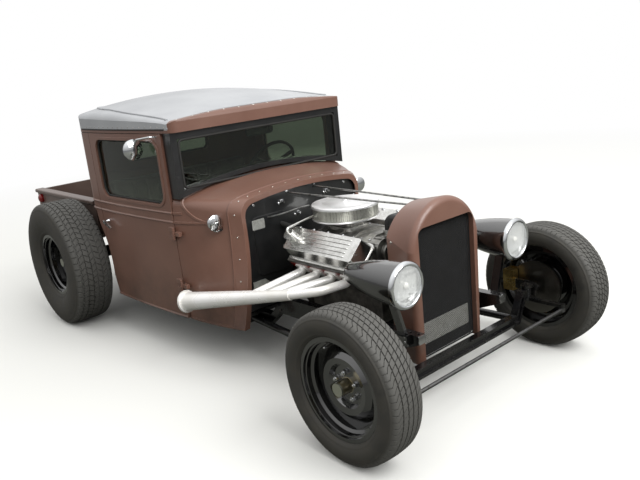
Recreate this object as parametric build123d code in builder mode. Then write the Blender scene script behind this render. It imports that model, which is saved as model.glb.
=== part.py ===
from build123d import *
from math import asin, cos, degrees, radians, sin
import os

# A chopped and channelled hot rod pickup, in millimetres.
# +X points to the front, +Y to the driver's left, +Z up.
# The origin is on the ground, below the middle of the whole car.

os.makedirs("parts", exist_ok=True)

# Driving dimensions of the running gear
front_tyre_radius = 325
bed_reach = 3622
front_axle_x = (bed_reach - front_tyre_radius) / 2
wheelbase = 2720
rear_axle_x = front_axle_x - wheelbase
front_half_track = 717
rear_half_track = 762
front_tyre_width = 180
rear_tyre_radius = 419
rear_tyre_width = 270
front_rim_radius = 208
rear_rim_radius = 195

# Steering: the arms point straight ahead, so the tie rod and both arms stay a parallelogram
kingpin_y = 545
steering_arm_length = 200

# Lengthwise places of the body
firewall_x = front_axle_x - 1050
windshield_x = front_axle_x - 1360
door_front_x = front_axle_x - 1433
door_rear_x = front_axle_x - 2290
cab_rear_x = front_axle_x - 2500
bed_front_x = front_axle_x - 2538
bed_rear_x = front_axle_x - bed_reach
shell_front_x = front_axle_x - 50
shell_rear_x = front_axle_x - 228

# Heights and half-widths of the body
sill_z = 240
belt_low_z = 801
belt_high_z = 852
door_top_z = 1282
roof_edge_z = 1302
door_front_half_width = 612
door_middle_half_width = 641
door_rear_half_width = 645
cab_corner_radius = 120
wall = 36
door_gap = 5

# Door hinges: barrels on vertical pins just outside the skin
hinge_x = front_axle_x - 1425
hinge_y = 630
hinge_heights = (440, 740)
hinge_radius = 7
hinge_barrel = 22

# Frame rails, with an upright step behind the seat
rail_y = 300
rail_width = 46
step_x = front_axle_x - 2372
step_length = 80

# Engine
crank_z = 420
engine_front_x = front_axle_x - 350
engine_rear_x = front_axle_x - 870
bore_spacing = 112
front_port_x = front_axle_x - 449
head_base = 225
head_height = 110
head_half_width = 90
port_height = 55
port_y = (head_base + port_height + head_half_width) * cos(radians(45)) + 0.3
port_z = crank_z + (head_base + port_height - head_half_width) * sin(radians(45)) - 0.3
bank_angle = 45

left, right = 1, -1
side_names = {left: "left", right: "right"}


# Plans and sections that several panels share

def across(x, z=0):
    """Plane across the car: its x is the car's left, its y is up, and it faces forward."""
    return Plane(origin=(x, 0, z), x_dir=(0, 1, 0), z_dir=(1, 0, 0))


def lengthwise(x, y, z):
    """Plane along the car: its x points forward and its y up, for profiles turned round that x."""
    return Plane(origin=(x, y, z), x_dir=(1, 0, 0), z_dir=(0, -1, 0))


def outboard(x, y, z, side):
    """Plane along the car that faces outward on the given side."""
    return Plane(origin=(x, y, z), x_dir=(1, 0, 0), z_dir=(0, side, 0))


def body_plan(front_points, front_radius):
    """Cab outline seen from above: bowed sides, round rear corners and the given front edge."""
    middle_x = (door_front_x + door_rear_x) / 2
    with BuildSketch() as plan:
        with BuildLine():
            left_side = ThreePointArc(
                (door_front_x, door_front_half_width),
                (middle_x, door_middle_half_width),
                (door_rear_x, door_rear_half_width),
            )
            Polyline(
                left_side @ 1,
                (cab_rear_x, door_rear_half_width - 12),
                (cab_rear_x, 12 - door_rear_half_width),
                (door_rear_x, -door_rear_half_width),
            )
            right_side = ThreePointArc(
                (door_rear_x, -door_rear_half_width),
                (middle_x, -door_middle_half_width),
                (door_front_x, -door_front_half_width),
            )
            Polyline(right_side @ 1, *front_points, left_side @ 0)
        make_face()
        fillet(plan.vertices().group_by(Axis.X)[0], cab_corner_radius)
        if front_radius:
            fillet(plan.vertices().group_by(Axis.X)[-1], front_radius)
    return plan.sketch


cab_plan = body_plan([], 0)


def arch_section(x, bottom, waist, shoulder, bottom_z, waist_z, shoulder_z, crown_z, corner):
    """Outline of the cowl at one station, as a sketch across the car."""
    with BuildSketch(across(x)) as section:
        with BuildLine():
            Line((bottom, bottom_z), (-bottom, bottom_z))
            ThreePointArc((-bottom, bottom_z), (-waist, waist_z), (-shoulder, shoulder_z))
            ThreePointArc((-shoulder, shoulder_z), (0, crown_z), (shoulder, shoulder_z))
            ThreePointArc((shoulder, shoulder_z), (waist, waist_z), (bottom, bottom_z))
        make_face()
        fillet(section.vertices().group_by(Axis.Y)[-1], corner)
    return section.sketch


# Cowl: columns are x, half-widths at the bottom, waist and shoulder, then the
# heights of the same three, the crown's height and the corner radius
cowl_stations = (
    (firewall_x, 495, 437, 428, 218, 470, 898, 936, 80),
    (front_axle_x - 1235, 556, 543, 530, 226, 520, 915, 968, 60),
    (door_front_x, 596, 611, 604, 236, 560, 926, 1003, 40),
)
cowl_skin = 22



def cowl_solid(growth, reach=0, drop=0):
    """Loft of the cowl, its skin moved out by growth, its ends by reach and its bottom by drop."""
    with BuildPart() as solid:
        for x, bottom, waist, shoulder, bottom_z, waist_z, shoulder_z, crown_z, corner in cowl_stations:
            end = reach if x == firewall_x else -reach if x == door_front_x else 0
            add(arch_section(
                x + end, bottom + growth, waist + growth, shoulder + growth,
                bottom_z - drop, waist_z, shoulder_z + growth, crown_z + growth, corner + growth / 2,
            ))
        loft()
    return solid.part


cowl_outer = cowl_solid(0)
cowl_inner = cowl_solid(-cowl_skin, reach=1, drop=30)

# Ridges pressed into the cowl: a band along its front edge, the belt's two beads and the sill bead
ridge_height = 5
band_length = 65
bead_width = 12
sweep_foot_x = front_axle_x - 1160
with BuildPart() as cowl_ridges:
    with BuildSketch(Plane.XZ):
        with Locations((firewall_x - band_length / 2, 600)):
            Rectangle(band_length, 900)
        with Locations(((door_front_x + sweep_foot_x) / 2, belt_low_z)):
            Rectangle(sweep_foot_x - door_front_x, bead_width)
        with Locations((door_front_x + 30, belt_high_z)):
            Rectangle(60, bead_width)
        # The upper bead sweeps down from the windshield post into the lower one
        with BuildLine():
            foot_low = (sweep_foot_x, belt_low_z - bead_width / 2)
            foot_high = (sweep_foot_x, belt_low_z + bead_width / 2)
            ThreePointArc((door_front_x + 40, 950), (door_front_x + 100, 855), foot_low)
            Line(foot_low, foot_high)
            ThreePointArc(foot_high, (door_front_x + 108, 863), (door_front_x + 52, 956))
            Line((door_front_x + 52, 956), (door_front_x + 40, 950))
        make_face()
        with BuildLine():
            Polyline(
                (door_front_x, 236), (firewall_x, 218), (firewall_x, 230), (door_front_x, 248), close=True
            )
        make_face()
    extrude(amount=700, both=True)
    add(cowl_solid(ridge_height), mode=Mode.INTERSECT)

dash_x = door_front_x + 28
with BuildPart() as dash:
    with BuildSketch(across(dash_x, 880)):
        RectangleRounded(1040, 150, 30)
    extrude(amount=14)
    with BuildSketch(across(dash_x - 8, 880)):
        with Locations((300, 6)):
            RectangleRounded(300, 100, 40)
    extrude(amount=8)
    # Flange that hangs it from the inside of the cowl
    with Locations((dash_x + 7, 0, 960)):
        Box(14, 900, 120)
    add(cowl_solid(-cowl_skin / 2, reach=1, drop=30), mode=Mode.INTERSECT)
with BuildPart() as cowl:
    add(cowl_outer)
    add(cowl_ridges.part)
    add(cowl_inner, mode=Mode.SUBTRACT)
    add(dash.part)
    # Middle barrels of the door hinges, each on its leaf
    for side in (left, right):
        for hinge_z in hinge_heights:
            with Locations((hinge_x, side * hinge_y, hinge_z)):
                Cylinder(hinge_radius, hinge_barrel)
            with Locations((hinge_x + 24, side * (hinge_y - 14), hinge_z)):
                Box(48, 22, hinge_barrel)
cowl.part.label = "cowl"
export_step(cowl.part, "parts/cowl.step")

# Firewall: a flat plate just inside the front edge of the cowl
firewall_thickness = 14
firewall_inset = 26
tunnel_radius = 132
tunnel_z = crank_z - 20
tunnel_step_x = front_axle_x - 1640
shaft_tunnel_radius = 78


def tunnel_section(x, radius, bottom):
    """Round-topped opening across the car, which goes down to the height bottom."""
    with BuildSketch(across(x, tunnel_z)) as section:
        Circle(radius)
        with Locations((0, (bottom - tunnel_z) / 2)):
            Rectangle(2 * radius, tunnel_z - bottom)
    return section.sketch


with BuildPart() as firewall_blank:
    with Locations((firewall_x - firewall_inset, 0, 600)):
        Box(firewall_thickness, 1200, 1200)
with BuildPart() as firewall:
    add(firewall_blank.part)
    add(cowl_inner, mode=Mode.INTERSECT)
    with Locations((firewall_x - firewall_inset, 0, 0)):
        Box(firewall_thickness + 2, 1200, 2 * 300, mode=Mode.SUBTRACT)
    extrude(tunnel_section(firewall_x, tunnel_radius, 240), amount=-60, mode=Mode.SUBTRACT)
    # Stiffening panels pressed forward
    with BuildSketch(across(firewall_x - firewall_inset + firewall_thickness / 2)):
        for side in (left, right):
            with Locations((side * 235, 640)):
                RectangleRounded(230, 330, 30)
    extrude(amount=6, taper=30)
firewall.part.label = "firewall"
export_step(firewall.part, "parts/firewall.step")


# Cab shell: one ring of wall thickness that is split into doors, quarters and back

with BuildPart() as cab_ring:
    with BuildSketch(Plane.XY.offset(sill_z)):
        add(cab_plan)
        offset(cab_plan, amount=-wall, mode=Mode.SUBTRACT)
        with Locations((door_front_x, 0)):
            Rectangle(2 * wall + 4, 2 * (door_front_half_width - wall), mode=Mode.SUBTRACT)
    extrude(amount=door_top_z - sill_z)

# Beads round the cab: the sill bead and the belt's two, each a ridge that tapers up and down
with BuildPart() as cab_beads:
    for bead_z in (sill_z + 7, belt_low_z, belt_high_z):
        for direction in (1, -1):
            with BuildSketch(Plane.XY.offset(bead_z)):
                offset(cab_plan, amount=ridge_height + 1)
            extrude(amount=direction * bead_width / 2, taper=35)
    with BuildSketch(Plane.XY.offset(sill_z - 10)):
        offset(cab_plan, amount=-4)
    extrude(amount=700, mode=Mode.SUBTRACT)

# Raised rim round each door window
window_front_x = front_axle_x - 1490
window_rear_x = front_axle_x - 2205
window_bottom_z = 895
window_top_z = 1245
window_radius = 65
rim_width = 16
rim_height = 4
window_plane = Plane(
    origin=((window_front_x + window_rear_x) / 2, 0, (window_bottom_z + window_top_z) / 2),
    x_dir=(1, 0, 0),
    z_dir=(0, -1, 0),
)
with BuildSketch(window_plane) as window_outline:
    RectangleRounded(window_front_x - window_rear_x, window_top_z - window_bottom_z, window_radius)
with BuildPart() as window_rims:
    with BuildSketch(window_plane):
        offset(window_outline.sketch_local, amount=rim_width)
    extrude(amount=800, both=True)
    with BuildSketch(Plane.XY.offset(window_bottom_z - 40)):
        offset(cab_plan, amount=rim_height)
        offset(cab_plan, amount=-wall / 2, mode=Mode.SUBTRACT)
    extrude(amount=window_top_z - window_bottom_z + 80, mode=Mode.INTERSECT)

# The lower rear edge slants forward, then follows the rear tyre
tyre_clearance = 32
slant_foot_x = front_axle_x - 2232
slant_head_x = front_axle_x - 2390
with BuildPart() as tyre_room:
    with BuildSketch(Plane.XZ):
        with BuildLine():
            Polyline(
                (slant_foot_x, sill_z - 20),
                (slant_head_x, 785),
                (cab_rear_x - 40, 785),
                (cab_rear_x - 40, sill_z - 20),
                close=True,
            )
        make_face()
        with Locations((rear_axle_x, rear_tyre_radius)):
            Circle(rear_tyre_radius + tyre_clearance)
    extrude(amount=800, both=True)

floor_z = 262
floor_thickness = 18
tunnel_skin = 8
back_half_width = 520
rear_window_width = 620
rear_window_height = 190
rear_window_z = 1130
with BuildPart() as cab_back:
    add(cab_ring.part)
    add(cab_beads.part)
    with Locations((door_rear_x + 1000, 0, 700)):
        Box(2000, 1400, 1400, mode=Mode.SUBTRACT)
    add(tyre_room.part, mode=Mode.SUBTRACT)
    with BuildSketch(across(cab_rear_x, rear_window_z)):
        RectangleRounded(rear_window_width, rear_window_height, 40)
    extrude(amount=120, both=True, mode=Mode.SUBTRACT)
    # The back wall goes down between the tyres to the floor, notched for the frame rails
    with Locations((cab_rear_x + wall / 2, 0, (floor_z + floor_thickness + 860) / 2)):
        Box(wall, 2 * back_half_width, 860 - floor_z - floor_thickness)
    for side in (left, right):
        with Locations((cab_rear_x, side * rail_y, 505)):
            Box(4 * wall, rail_width + 16, 126, mode=Mode.SUBTRACT)
    extrude(tunnel_section(cab_rear_x - 5, shaft_tunnel_radius, 240), amount=wall + 10, mode=Mode.SUBTRACT)
cab_back.part.label = "cab_back"
export_step(cab_back.part, "parts/cab_back.step")

with BuildPart() as cab_floor:
    with BuildSketch(Plane.XY.offset(floor_z)):
        with BuildLine():
            Polyline(
                (firewall_x - 45, -440), (door_front_x, -560), (slant_foot_x + 10, -590),
                (slant_foot_x - 30, -520), (cab_rear_x + wall, -520),
                (cab_rear_x + wall, 520), (slant_foot_x - 30, 520),
                (slant_foot_x + 10, 590), (door_front_x, 560), (firewall_x - 45, 440),
                close=True,
            )
        make_face()
    extrude(amount=floor_thickness)
    for side in (left, right):
        with Locations((step_x, side * rail_y, floor_z)):
            Box(step_length + 16, rail_width + 16, 60, mode=Mode.SUBTRACT)
    # Tunnel over the gearbox, lower over the driveshaft, open below. Columns: radius, front and rear
    tunnel_front_x = firewall_x - firewall_inset - firewall_thickness / 2
    tunnel_rows = (
        (tunnel_radius, tunnel_front_x, tunnel_step_x),
        (shaft_tunnel_radius, tunnel_step_x, cab_rear_x + wall),
    )
    for radius, front_x, rear_x in tunnel_rows:
        extrude(tunnel_section(front_x, radius + tunnel_skin, floor_z), amount=rear_x - front_x)
    for radius, front_x, rear_x in tunnel_rows:
        end_plate = tunnel_skin if radius == tunnel_radius else -tunnel_skin
        extrude(
            tunnel_section(front_x, radius, floor_z - 50),
            amount=rear_x - front_x + end_plate,
            mode=Mode.SUBTRACT,
        )
    extrude(
        tunnel_section(tunnel_step_x + tunnel_skin, shaft_tunnel_radius, floor_z - 50),
        amount=-2 * tunnel_skin,
        mode=Mode.SUBTRACT,
    )
cab_floor.part.label = "cab_floor"
export_step(cab_floor.part, "parts/cab_floor.step")

# Doors, front hinged
door_top_gap = 4
door_length = door_front_x - door_rear_x
glass_thickness = 6

for side in (left, right):
    name = side_names[side]
    with BuildPart() as door:
        add(cab_ring.part)
        add(cab_beads.part)
        add(window_rims.part)
        with Locations(((door_front_x + door_rear_x) / 2, side * 700, 700)):
            Box(door_length - 2 * door_gap, 600, 1400, mode=Mode.INTERSECT)
        add(tyre_room.part, mode=Mode.SUBTRACT)
        extrude(window_outline.sketch, amount=side * -800, mode=Mode.SUBTRACT)
        # Two outer barrels a hinge, joined by a leaf on the door's skin
        for hinge_z in hinge_heights:
            for end in (-1, 1):
                with Locations((hinge_x, side * hinge_y, hinge_z + end * (hinge_barrel + 1))):
                    Cylinder(hinge_radius, hinge_barrel)
                with Locations((hinge_x - 12, side * (hinge_y - 5), hinge_z + end * (hinge_barrel + 1))):
                    Box(24, 6, hinge_barrel)
                with Locations((hinge_x - 34, side * (hinge_y - 13), hinge_z + end * (hinge_barrel + 1))):
                    Box(40, 22, hinge_barrel)
    door.part.label = f"door_{name}"
    export_step(door.part, f"parts/door_{name}.step")

    with BuildPart() as door_glass:
        with BuildSketch(Plane.XY.offset(window_bottom_z)):
            offset(cab_plan, amount=-wall / 2)
            offset(cab_plan, amount=-wall / 2 - glass_thickness, mode=Mode.SUBTRACT)
        extrude(amount=window_top_z - window_bottom_z)
        extrude(window_outline.sketch, amount=side * -800, mode=Mode.INTERSECT)
    door_glass.part.label = f"door_glass_{name}"
    export_step(door_glass.part, f"parts/door_glass_{name}.step")

# Roof: a painted rail over the doors that rises to a visor in front, and a padded vinyl top.
# Columns are x, half-width, shoulder height, crown height and corner radius
visor_x = front_axle_x - 1326
visor_length = 34
visor_half_width = door_front_half_width - 8
roof_stations = (
    (visor_x + 2, visor_half_width + 3, 1345, 1369, 40),
    (front_axle_x - 1700, 637, 1369, 1440, 50),
    (front_axle_x - 2050, 646, 1391, 1468, 60),
    (front_axle_x - 2300, 647, 1391, 1467, 60),
    (cab_rear_x - 2, 637, 1381, 1452, 55),
)
roof_lining = 42
roof_bottom_z = roof_edge_z - 5


def roof_solid(inset, lining):
    """Loft of the crowned roof, its sides moved in by inset and its top down by lining."""
    with BuildPart() as solid:
        for x, half_width, shoulder_z, crown_z, corner in roof_stations:
            side_y = half_width - inset
            bottom_z = roof_bottom_z - lining
            add(arch_section(
                x, side_y, side_y + 2, side_y,
                bottom_z, bottom_z + 20, shoulder_z - lining, crown_z - lining, corner,
            ))
        loft()
    return solid.part


roof_plan = body_plan([(visor_x, -visor_half_width), (visor_x, visor_half_width)], 50)
rail_bottom_z = door_top_z + door_top_gap
with BuildPart() as roof_crown:
    with BuildSketch(Plane.XY.offset(roof_bottom_z)):
        add(roof_plan)
    extrude(amount=240)
    add(roof_solid(0, 0), mode=Mode.INTERSECT)
    # Rounded nose of the visor and rounded rear edge of the pad
    with BuildSketch(Plane.XZ):
        with BuildLine():
            Polyline(
                (cab_rear_x - 1, 1368), (cab_rear_x - 1, roof_bottom_z),
                (visor_x + 1, roof_bottom_z), (visor_x + 1, 1326),
            )
            ThreePointArc((visor_x + 1, 1326), (visor_x - 8, 1358), (visor_x - visor_length, 1372))
            Polyline((visor_x - visor_length, 1372), (front_axle_x - 1880, 1500), (cab_rear_x + 72, 1466))
            ThreePointArc((cab_rear_x + 72, 1466), (cab_rear_x + 17, 1425), (cab_rear_x - 1, 1368))
        make_face()
    extrude(amount=800, both=True, mode=Mode.INTERSECT)
    # Hollow under the lining
    with BuildPart(mode=Mode.SUBTRACT):
        add(roof_solid(80, roof_lining))
        with Locations(((visor_x + cab_rear_x) / 2 - 20, 0, 1350)):
            Box(visor_x - cab_rear_x - 180, 1400, 400, mode=Mode.INTERSECT)

with BuildPart() as visor_space:
    with Locations((visor_x - visor_length + 150, 0, roof_edge_z)):
        Box(300, 1400, 300)

with BuildPart() as roof_rail:
    with BuildSketch(Plane.XY.offset(rail_bottom_z)):
        add(roof_plan)
        offset(roof_plan, amount=-60, mode=Mode.SUBTRACT)
    extrude(amount=roof_edge_z - rail_bottom_z)
    add(roof_crown.part.intersect(visor_space.part))
roof_rail.part.label = "roof_rail"
export_step(roof_rail.part, "parts/roof_rail.step")

with BuildPart() as roof_top:
    add(roof_crown.part)
    add(visor_space.part, mode=Mode.SUBTRACT)
    add(roof_rail.part, mode=Mode.SUBTRACT)
roof_top.part.label = "roof_top"
export_step(roof_top.part, "parts/roof_top.step")

# Windshield frame: two posts, a header and a base that follows the cowl's crown
windshield_post = 38
windshield_half_width = 600
windshield_depth = 78


def windshield_face(half_width, corner_z, crown_z, top_z):
    """Windshield outline across the car, with an arched lower edge."""
    with BuildSketch() as outline:
        with BuildLine():
            Polyline(
                (-half_width, corner_z), (-half_width, top_z), (half_width, top_z), (half_width, corner_z)
            )
            ThreePointArc((half_width, corner_z), (0, crown_z), (-half_width, corner_z))
        make_face()
    return outline.sketch


with BuildSketch(across(windshield_x)) as windshield_opening:
    add(windshield_face(windshield_half_width - windshield_post, 975, 1032, 1250))
with BuildPart() as windshield_frame:
    with BuildSketch(across(door_front_x)):
        add(windshield_face(windshield_half_width, 932, 1006, rail_bottom_z))
    extrude(amount=windshield_depth)
    extrude(windshield_opening.sketch, amount=100, both=True, mode=Mode.SUBTRACT)
windshield_frame.part.label = "windshield_frame"
export_step(windshield_frame.part, "parts/windshield_frame.step")

# Fixed glass: the windshield and the rear window
with BuildPart() as cab_glass:
    extrude(windshield_opening.sketch, amount=-glass_thickness)
    with BuildSketch(across(cab_rear_x + 15, rear_window_z)):
        RectangleRounded(rear_window_width, rear_window_height, 40)
    extrude(amount=glass_thickness)
cab_glass.part.label = "cab_glass"
export_step(cab_glass.part, "parts/cab_glass.step")

# Bench seat: a base, a cushion and a leaning back, each with round edges, over the tunnel
seat_half_width = 540
seat_front_x = front_axle_x - 1880
seat_back_x = cab_rear_x + wall + 4
with BuildPart() as seat:
    with BuildSketch(Plane.XZ.offset(-seat_half_width)):
        with BuildLine():
            Polyline(
                (seat_front_x - 40, floor_z + floor_thickness), (seat_front_x - 40, 390), (seat_front_x, 400),
                (seat_front_x, 508), (seat_front_x - 60, 522), (front_axle_x - 2250, 496),
                (front_axle_x - 2330, 940), (front_axle_x - 2352, 960), (seat_back_x, 960),
                (seat_back_x, 580), (front_axle_x - 2322, 580),
                (front_axle_x - 2322, floor_z + floor_thickness), close=True,
            )
        make_face()
    extrude(amount=2 * seat_half_width)
    extrude(
        tunnel_section(seat_back_x - 10, shaft_tunnel_radius + tunnel_skin + 2, 240),
        amount=700,
        mode=Mode.SUBTRACT,
    )
seat.part.label = "seat"
export_step(seat.part, "parts/seat.step")

# Steering wheel with a round rim and three spokes, on a column that ends at the firewall
steering_wheel_centre = (front_axle_x - 1760, 330, 930)
steering_tilt = 62
wheel_rim_radius = 182
grip_radius = 11
column_axis = Plane(
    origin=steering_wheel_centre,
    x_dir=(0, 1, 0),
    z_dir=(-sin(radians(steering_tilt)), 0, cos(radians(steering_tilt))),
)
with BuildPart() as steering_column:
    add(column_axis.location * Solid.make_torus(wheel_rim_radius, grip_radius))
    with BuildSketch(column_axis.offset(-5)):
        with PolarLocations(wheel_rim_radius / 2, 3, start_angle=90):
            Rectangle(wheel_rim_radius, 26)
        Circle(40)
    extrude(amount=10)
    with BuildSketch(column_axis.offset(-5)):
        Circle(22)
    extrude(amount=-734)
steering_column.part.label = "steering_column"
export_step(steering_column.part, "parts/steering_column.step")


# Bed and tailgate
bed_half_width = 600
bed_floor_z = 572
bed_floor_thickness = 20
bed_rail_z = 820
bed_side = 26
bed_skin_y = bed_half_width - 16
rail_cap_width = 70
rail_cap_height = 28
plank_pitch = 130
plank_count = 8
gate_hinge_x = bed_rear_x + 8
gate_hinge_z = 594
gate_hinge_y = 400
gate_barrel_radius = 6
gate_barrel = 60
with BuildPart() as bed:
    with Locations(((bed_front_x + bed_rear_x) / 2, 0, bed_floor_z)):
        Box(bed_front_x - bed_rear_x, 2 * bed_half_width - 2 * bed_side, bed_floor_thickness)
    for side in (left, right):
        with Locations(((bed_front_x + bed_rear_x) / 2, side * (bed_skin_y - bed_side / 2), 690)):
            Box(bed_front_x - bed_rear_x, bed_side, 2 * 130)
        # Rolled cap along the top of the side, and two pressed ribs
        with BuildSketch(across(bed_rear_x)):
            with Locations((side * (bed_half_width - rail_cap_width / 2), bed_rail_z - rail_cap_height / 2)):
                RectangleRounded(rail_cap_width, rail_cap_height, 10)
        extrude(amount=bed_front_x - bed_rear_x)
        for rib_z in (620, 692):
            with BuildSketch(Plane.XZ.offset(-side * bed_skin_y)):
                with Locations(((bed_front_x + bed_rear_x) / 2, rib_z)):
                    SlotOverall(bed_front_x - bed_rear_x - 120, 40)
            extrude(amount=-side * 8, taper=35)
        # Outer barrels of the gate's hinges, on feet that stand on the floor
        for barrel_end in (-1, 1):
            barrel_y = side * gate_hinge_y + barrel_end * (gate_barrel / 2 + 16)
            with Locations((gate_hinge_x, barrel_y, gate_hinge_z)):
                Cylinder(gate_barrel_radius, 30, rotation=(90, 0, 0))
            with Locations((gate_hinge_x, barrel_y, gate_hinge_z - 7)):
                Box(2 * gate_barrel_radius, 30, 14)
    with Locations((bed_front_x - 13, 0, 690)):
        Box(bed_side, 2 * bed_half_width - 60, 2 * 122)
    # Gaps between the floor's planks
    with Locations(((bed_front_x + bed_rear_x) / 2, 0, bed_floor_z + bed_floor_thickness / 2)):
        with GridLocations(1, plank_pitch, 1, plank_count):
            Box(bed_front_x - bed_rear_x - 80, 6, 6, mode=Mode.SUBTRACT)
bed.part.label = "bed"
export_step(bed.part, "parts/bed.step")

gate_thickness = 22
gate_bottom_z = 607
gate_half_width = bed_skin_y - bed_side - 6
gate_x = bed_rear_x + 12
with BuildPart() as tailgate:
    for half_width, top in ((gate_half_width, 784), (gate_half_width - 28, bed_rail_z - 6)):
        with Locations((gate_x, 0, (gate_bottom_z + top) / 2)):
            Box(gate_thickness, 2 * half_width, top - gate_bottom_z)
    # Panel sunk into the rear face, with a rib across it
    with BuildSketch(Plane(origin=(gate_x - gate_thickness / 2, 0, 708), x_dir=(0, 1, 0), z_dir=(1, 0, 0))):
        RectangleRounded(2 * gate_half_width - 130, 140, 24)
    extrude(amount=7, taper=30, mode=Mode.SUBTRACT)
    with Locations((gate_x - gate_thickness / 2 + 4, 0, 708)):
        Box(8, 2 * gate_half_width - 130, 18)
    for side in (left, right):
        with Locations((gate_hinge_x, side * gate_hinge_y, gate_hinge_z)):
            Cylinder(gate_barrel_radius, gate_barrel, rotation=(90, 0, 0))
        with Locations((gate_hinge_x, side * gate_hinge_y, gate_hinge_z + 8)):
            Box(2 * gate_barrel_radius, gate_barrel, 16)
tailgate.part.label = "tailgate"
export_step(tailgate.part, "parts/tailgate.step")

# Tail lamps: domed lenses that stand out from the bed's sides
tail_lamp_radius = 34
tail_lamp_place = (front_axle_x - 3540, 752)
with BuildPart() as tail_lamps:
    for side in (left, right):
        lamp_plane = Plane(
            origin=(tail_lamp_place[0], side * bed_skin_y, tail_lamp_place[1]),
            x_dir=(0, side, 0),
            z_dir=(1, 0, 0),
        )
        with BuildSketch(lamp_plane):
            with BuildLine():
                Polyline((0, 0), (0, tail_lamp_radius), (16, tail_lamp_radius))
                ThreePointArc((16, tail_lamp_radius), (26, 22), (30, 4))
                Polyline((30, 4), (30, 0), (0, 0))
            make_face()
        revolve(axis=Axis(lamp_plane.origin, (0, 1, 0)))
tail_lamps.part.label = "tail_lamps"
export_step(tail_lamps.part, "parts/tail_lamps.step")


# Frame: two rails with an upright step behind the seat, and five crossmembers
horn_hole_pitch = 44
horn_hole_radius = 6.5
hitch_hole_pitch = 180
hitch_hole_radius = 8.5
rod_rear_y = 345
rod_length = 1170
rod_bracket_x = front_axle_x - 8 - rod_length
rail_front = (292, 392)
rail_cab = (184, 256)
rail_back = (480, 560)
with BuildPart() as frame_rails:
    for side in (left, right):
        with BuildSketch(Plane.XZ.offset(-side * rail_y - rail_width / 2)):
            with BuildLine():
                Polyline(
                    (front_axle_x + 25, rail_front[1] - 40), (front_axle_x + 25, rail_front[1]),
                    (firewall_x + 120, rail_front[1] - 16), (firewall_x + 10, rail_cab[1]),
                    (step_x + step_length / 2, rail_cab[1]), (step_x + step_length / 2, rail_back[1]),
                    (bed_rear_x + 60, rail_back[1]), (bed_rear_x + 60, rail_back[0]),
                    (step_x - step_length / 2, rail_back[0]), (step_x - step_length / 2, rail_cab[0]),
                    (firewall_x - 20, rail_cab[0]), (firewall_x + 90, rail_front[0] - 8),
                    (front_axle_x - 120, rail_front[0]), close=True,
                )
            make_face()
        extrude(amount=rail_width)
        with Locations((step_x - 14, side * (rail_y + 42), 212)):
            Box(40, 40, 50)
        # Bracket for the radius rod, and the engine mount
        with Locations((rod_bracket_x - 20, side * rod_rear_y, 214)):
            Box(40, 46, 44)
        with Locations((front_axle_x - 560, side * 213.5, 345)):
            Box(70, 127, 26)
    # Crossmembers. Columns: x, length, bottom, top
    for x, length, bottom, top in (
        (shell_rear_x - 25, 44, 302, 350),
        (firewall_x - 330, 90, 190, 240),
        (rear_axle_x + 190, 60, 500, 552),
        (rear_axle_x - 190, 60, 500, 552),
        (bed_rear_x + 90, 60, 495, 555),
    ):
        with Locations((x, 0, (bottom + top) / 2)):
            Box(length, 2 * rail_y, top - bottom)
    # Bumper holes through the front horns, and hitch holes through the last crossmember
    with BuildSketch(Plane.XY.offset(rail_front[1])):
        with Locations((front_axle_x - 15, 0)):
            with GridLocations(horn_hole_pitch, 2 * rail_y, 2, 2):
                Circle(horn_hole_radius)
    extrude(amount=-120, mode=Mode.SUBTRACT)
    with BuildSketch(Plane.XY.offset(rail_back[1])):
        with Locations((bed_rear_x + 90, 0)):
            with GridLocations(1, hitch_hole_pitch, 1, 2):
                Circle(hitch_hole_radius)
    extrude(amount=-90, mode=Mode.SUBTRACT)
frame_rails.part.label = "frame"
export_step(frame_rails.part, "parts/frame.step")


# Engine: block, two banks of heads and the sump
crank_front = (engine_front_x, 0, crank_z)
pump_z = 560
timing_cover = 14
block_length = engine_front_x - engine_rear_x
with BuildPart() as engine:
    with BuildSketch(across(engine_front_x, crank_z)):
        with BuildLine():
            Polyline(
                (-150, -110), (-150, 20), (-234, 116), (-120, 250), (120, 250), (234, 116),
                (150, 20), (150, -110), (95, -190), (-95, -190), close=True,
            )
        make_face()
    extrude(amount=-block_length)
    for side in (left, right):
        bank = Plane(
            origin=crank_front,
            x_dir=(1, 0, 0),
            z_dir=(0, side * sin(radians(bank_angle)), cos(radians(bank_angle))),
        )
        with BuildSketch(bank.offset(head_base)):
            with Locations((-block_length / 2, 0)):
                Rectangle(block_length - 10, 2 * head_half_width)
        extrude(amount=head_height)
    # Timing cover, round at the crank and at the water pump
    with BuildSketch(across(engine_front_x)) as timing_outline:
        with Locations((0, crank_z)):
            Circle(95)
        with Locations((0, pump_z)):
            Circle(60)
        make_hull()
    extrude(amount=timing_cover)
engine.part.label = "engine"
export_step(engine.part, "parts/engine.step")

# Valve covers: cast boxes with round corners, a bolt flange and ribs along the top.
# The right one carries a breather, with a bent tube to the air cleaner
cover_length = 530
cover_width = 165
cover_height = 88
cover_rib_pitch = 22
breather_place = (-200, 0)
breather_radius = 30
breather_height = 46
air_cleaner_x = front_axle_x - 713
air_cleaner_radius = 178
air_cleaner_z = 762
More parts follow.
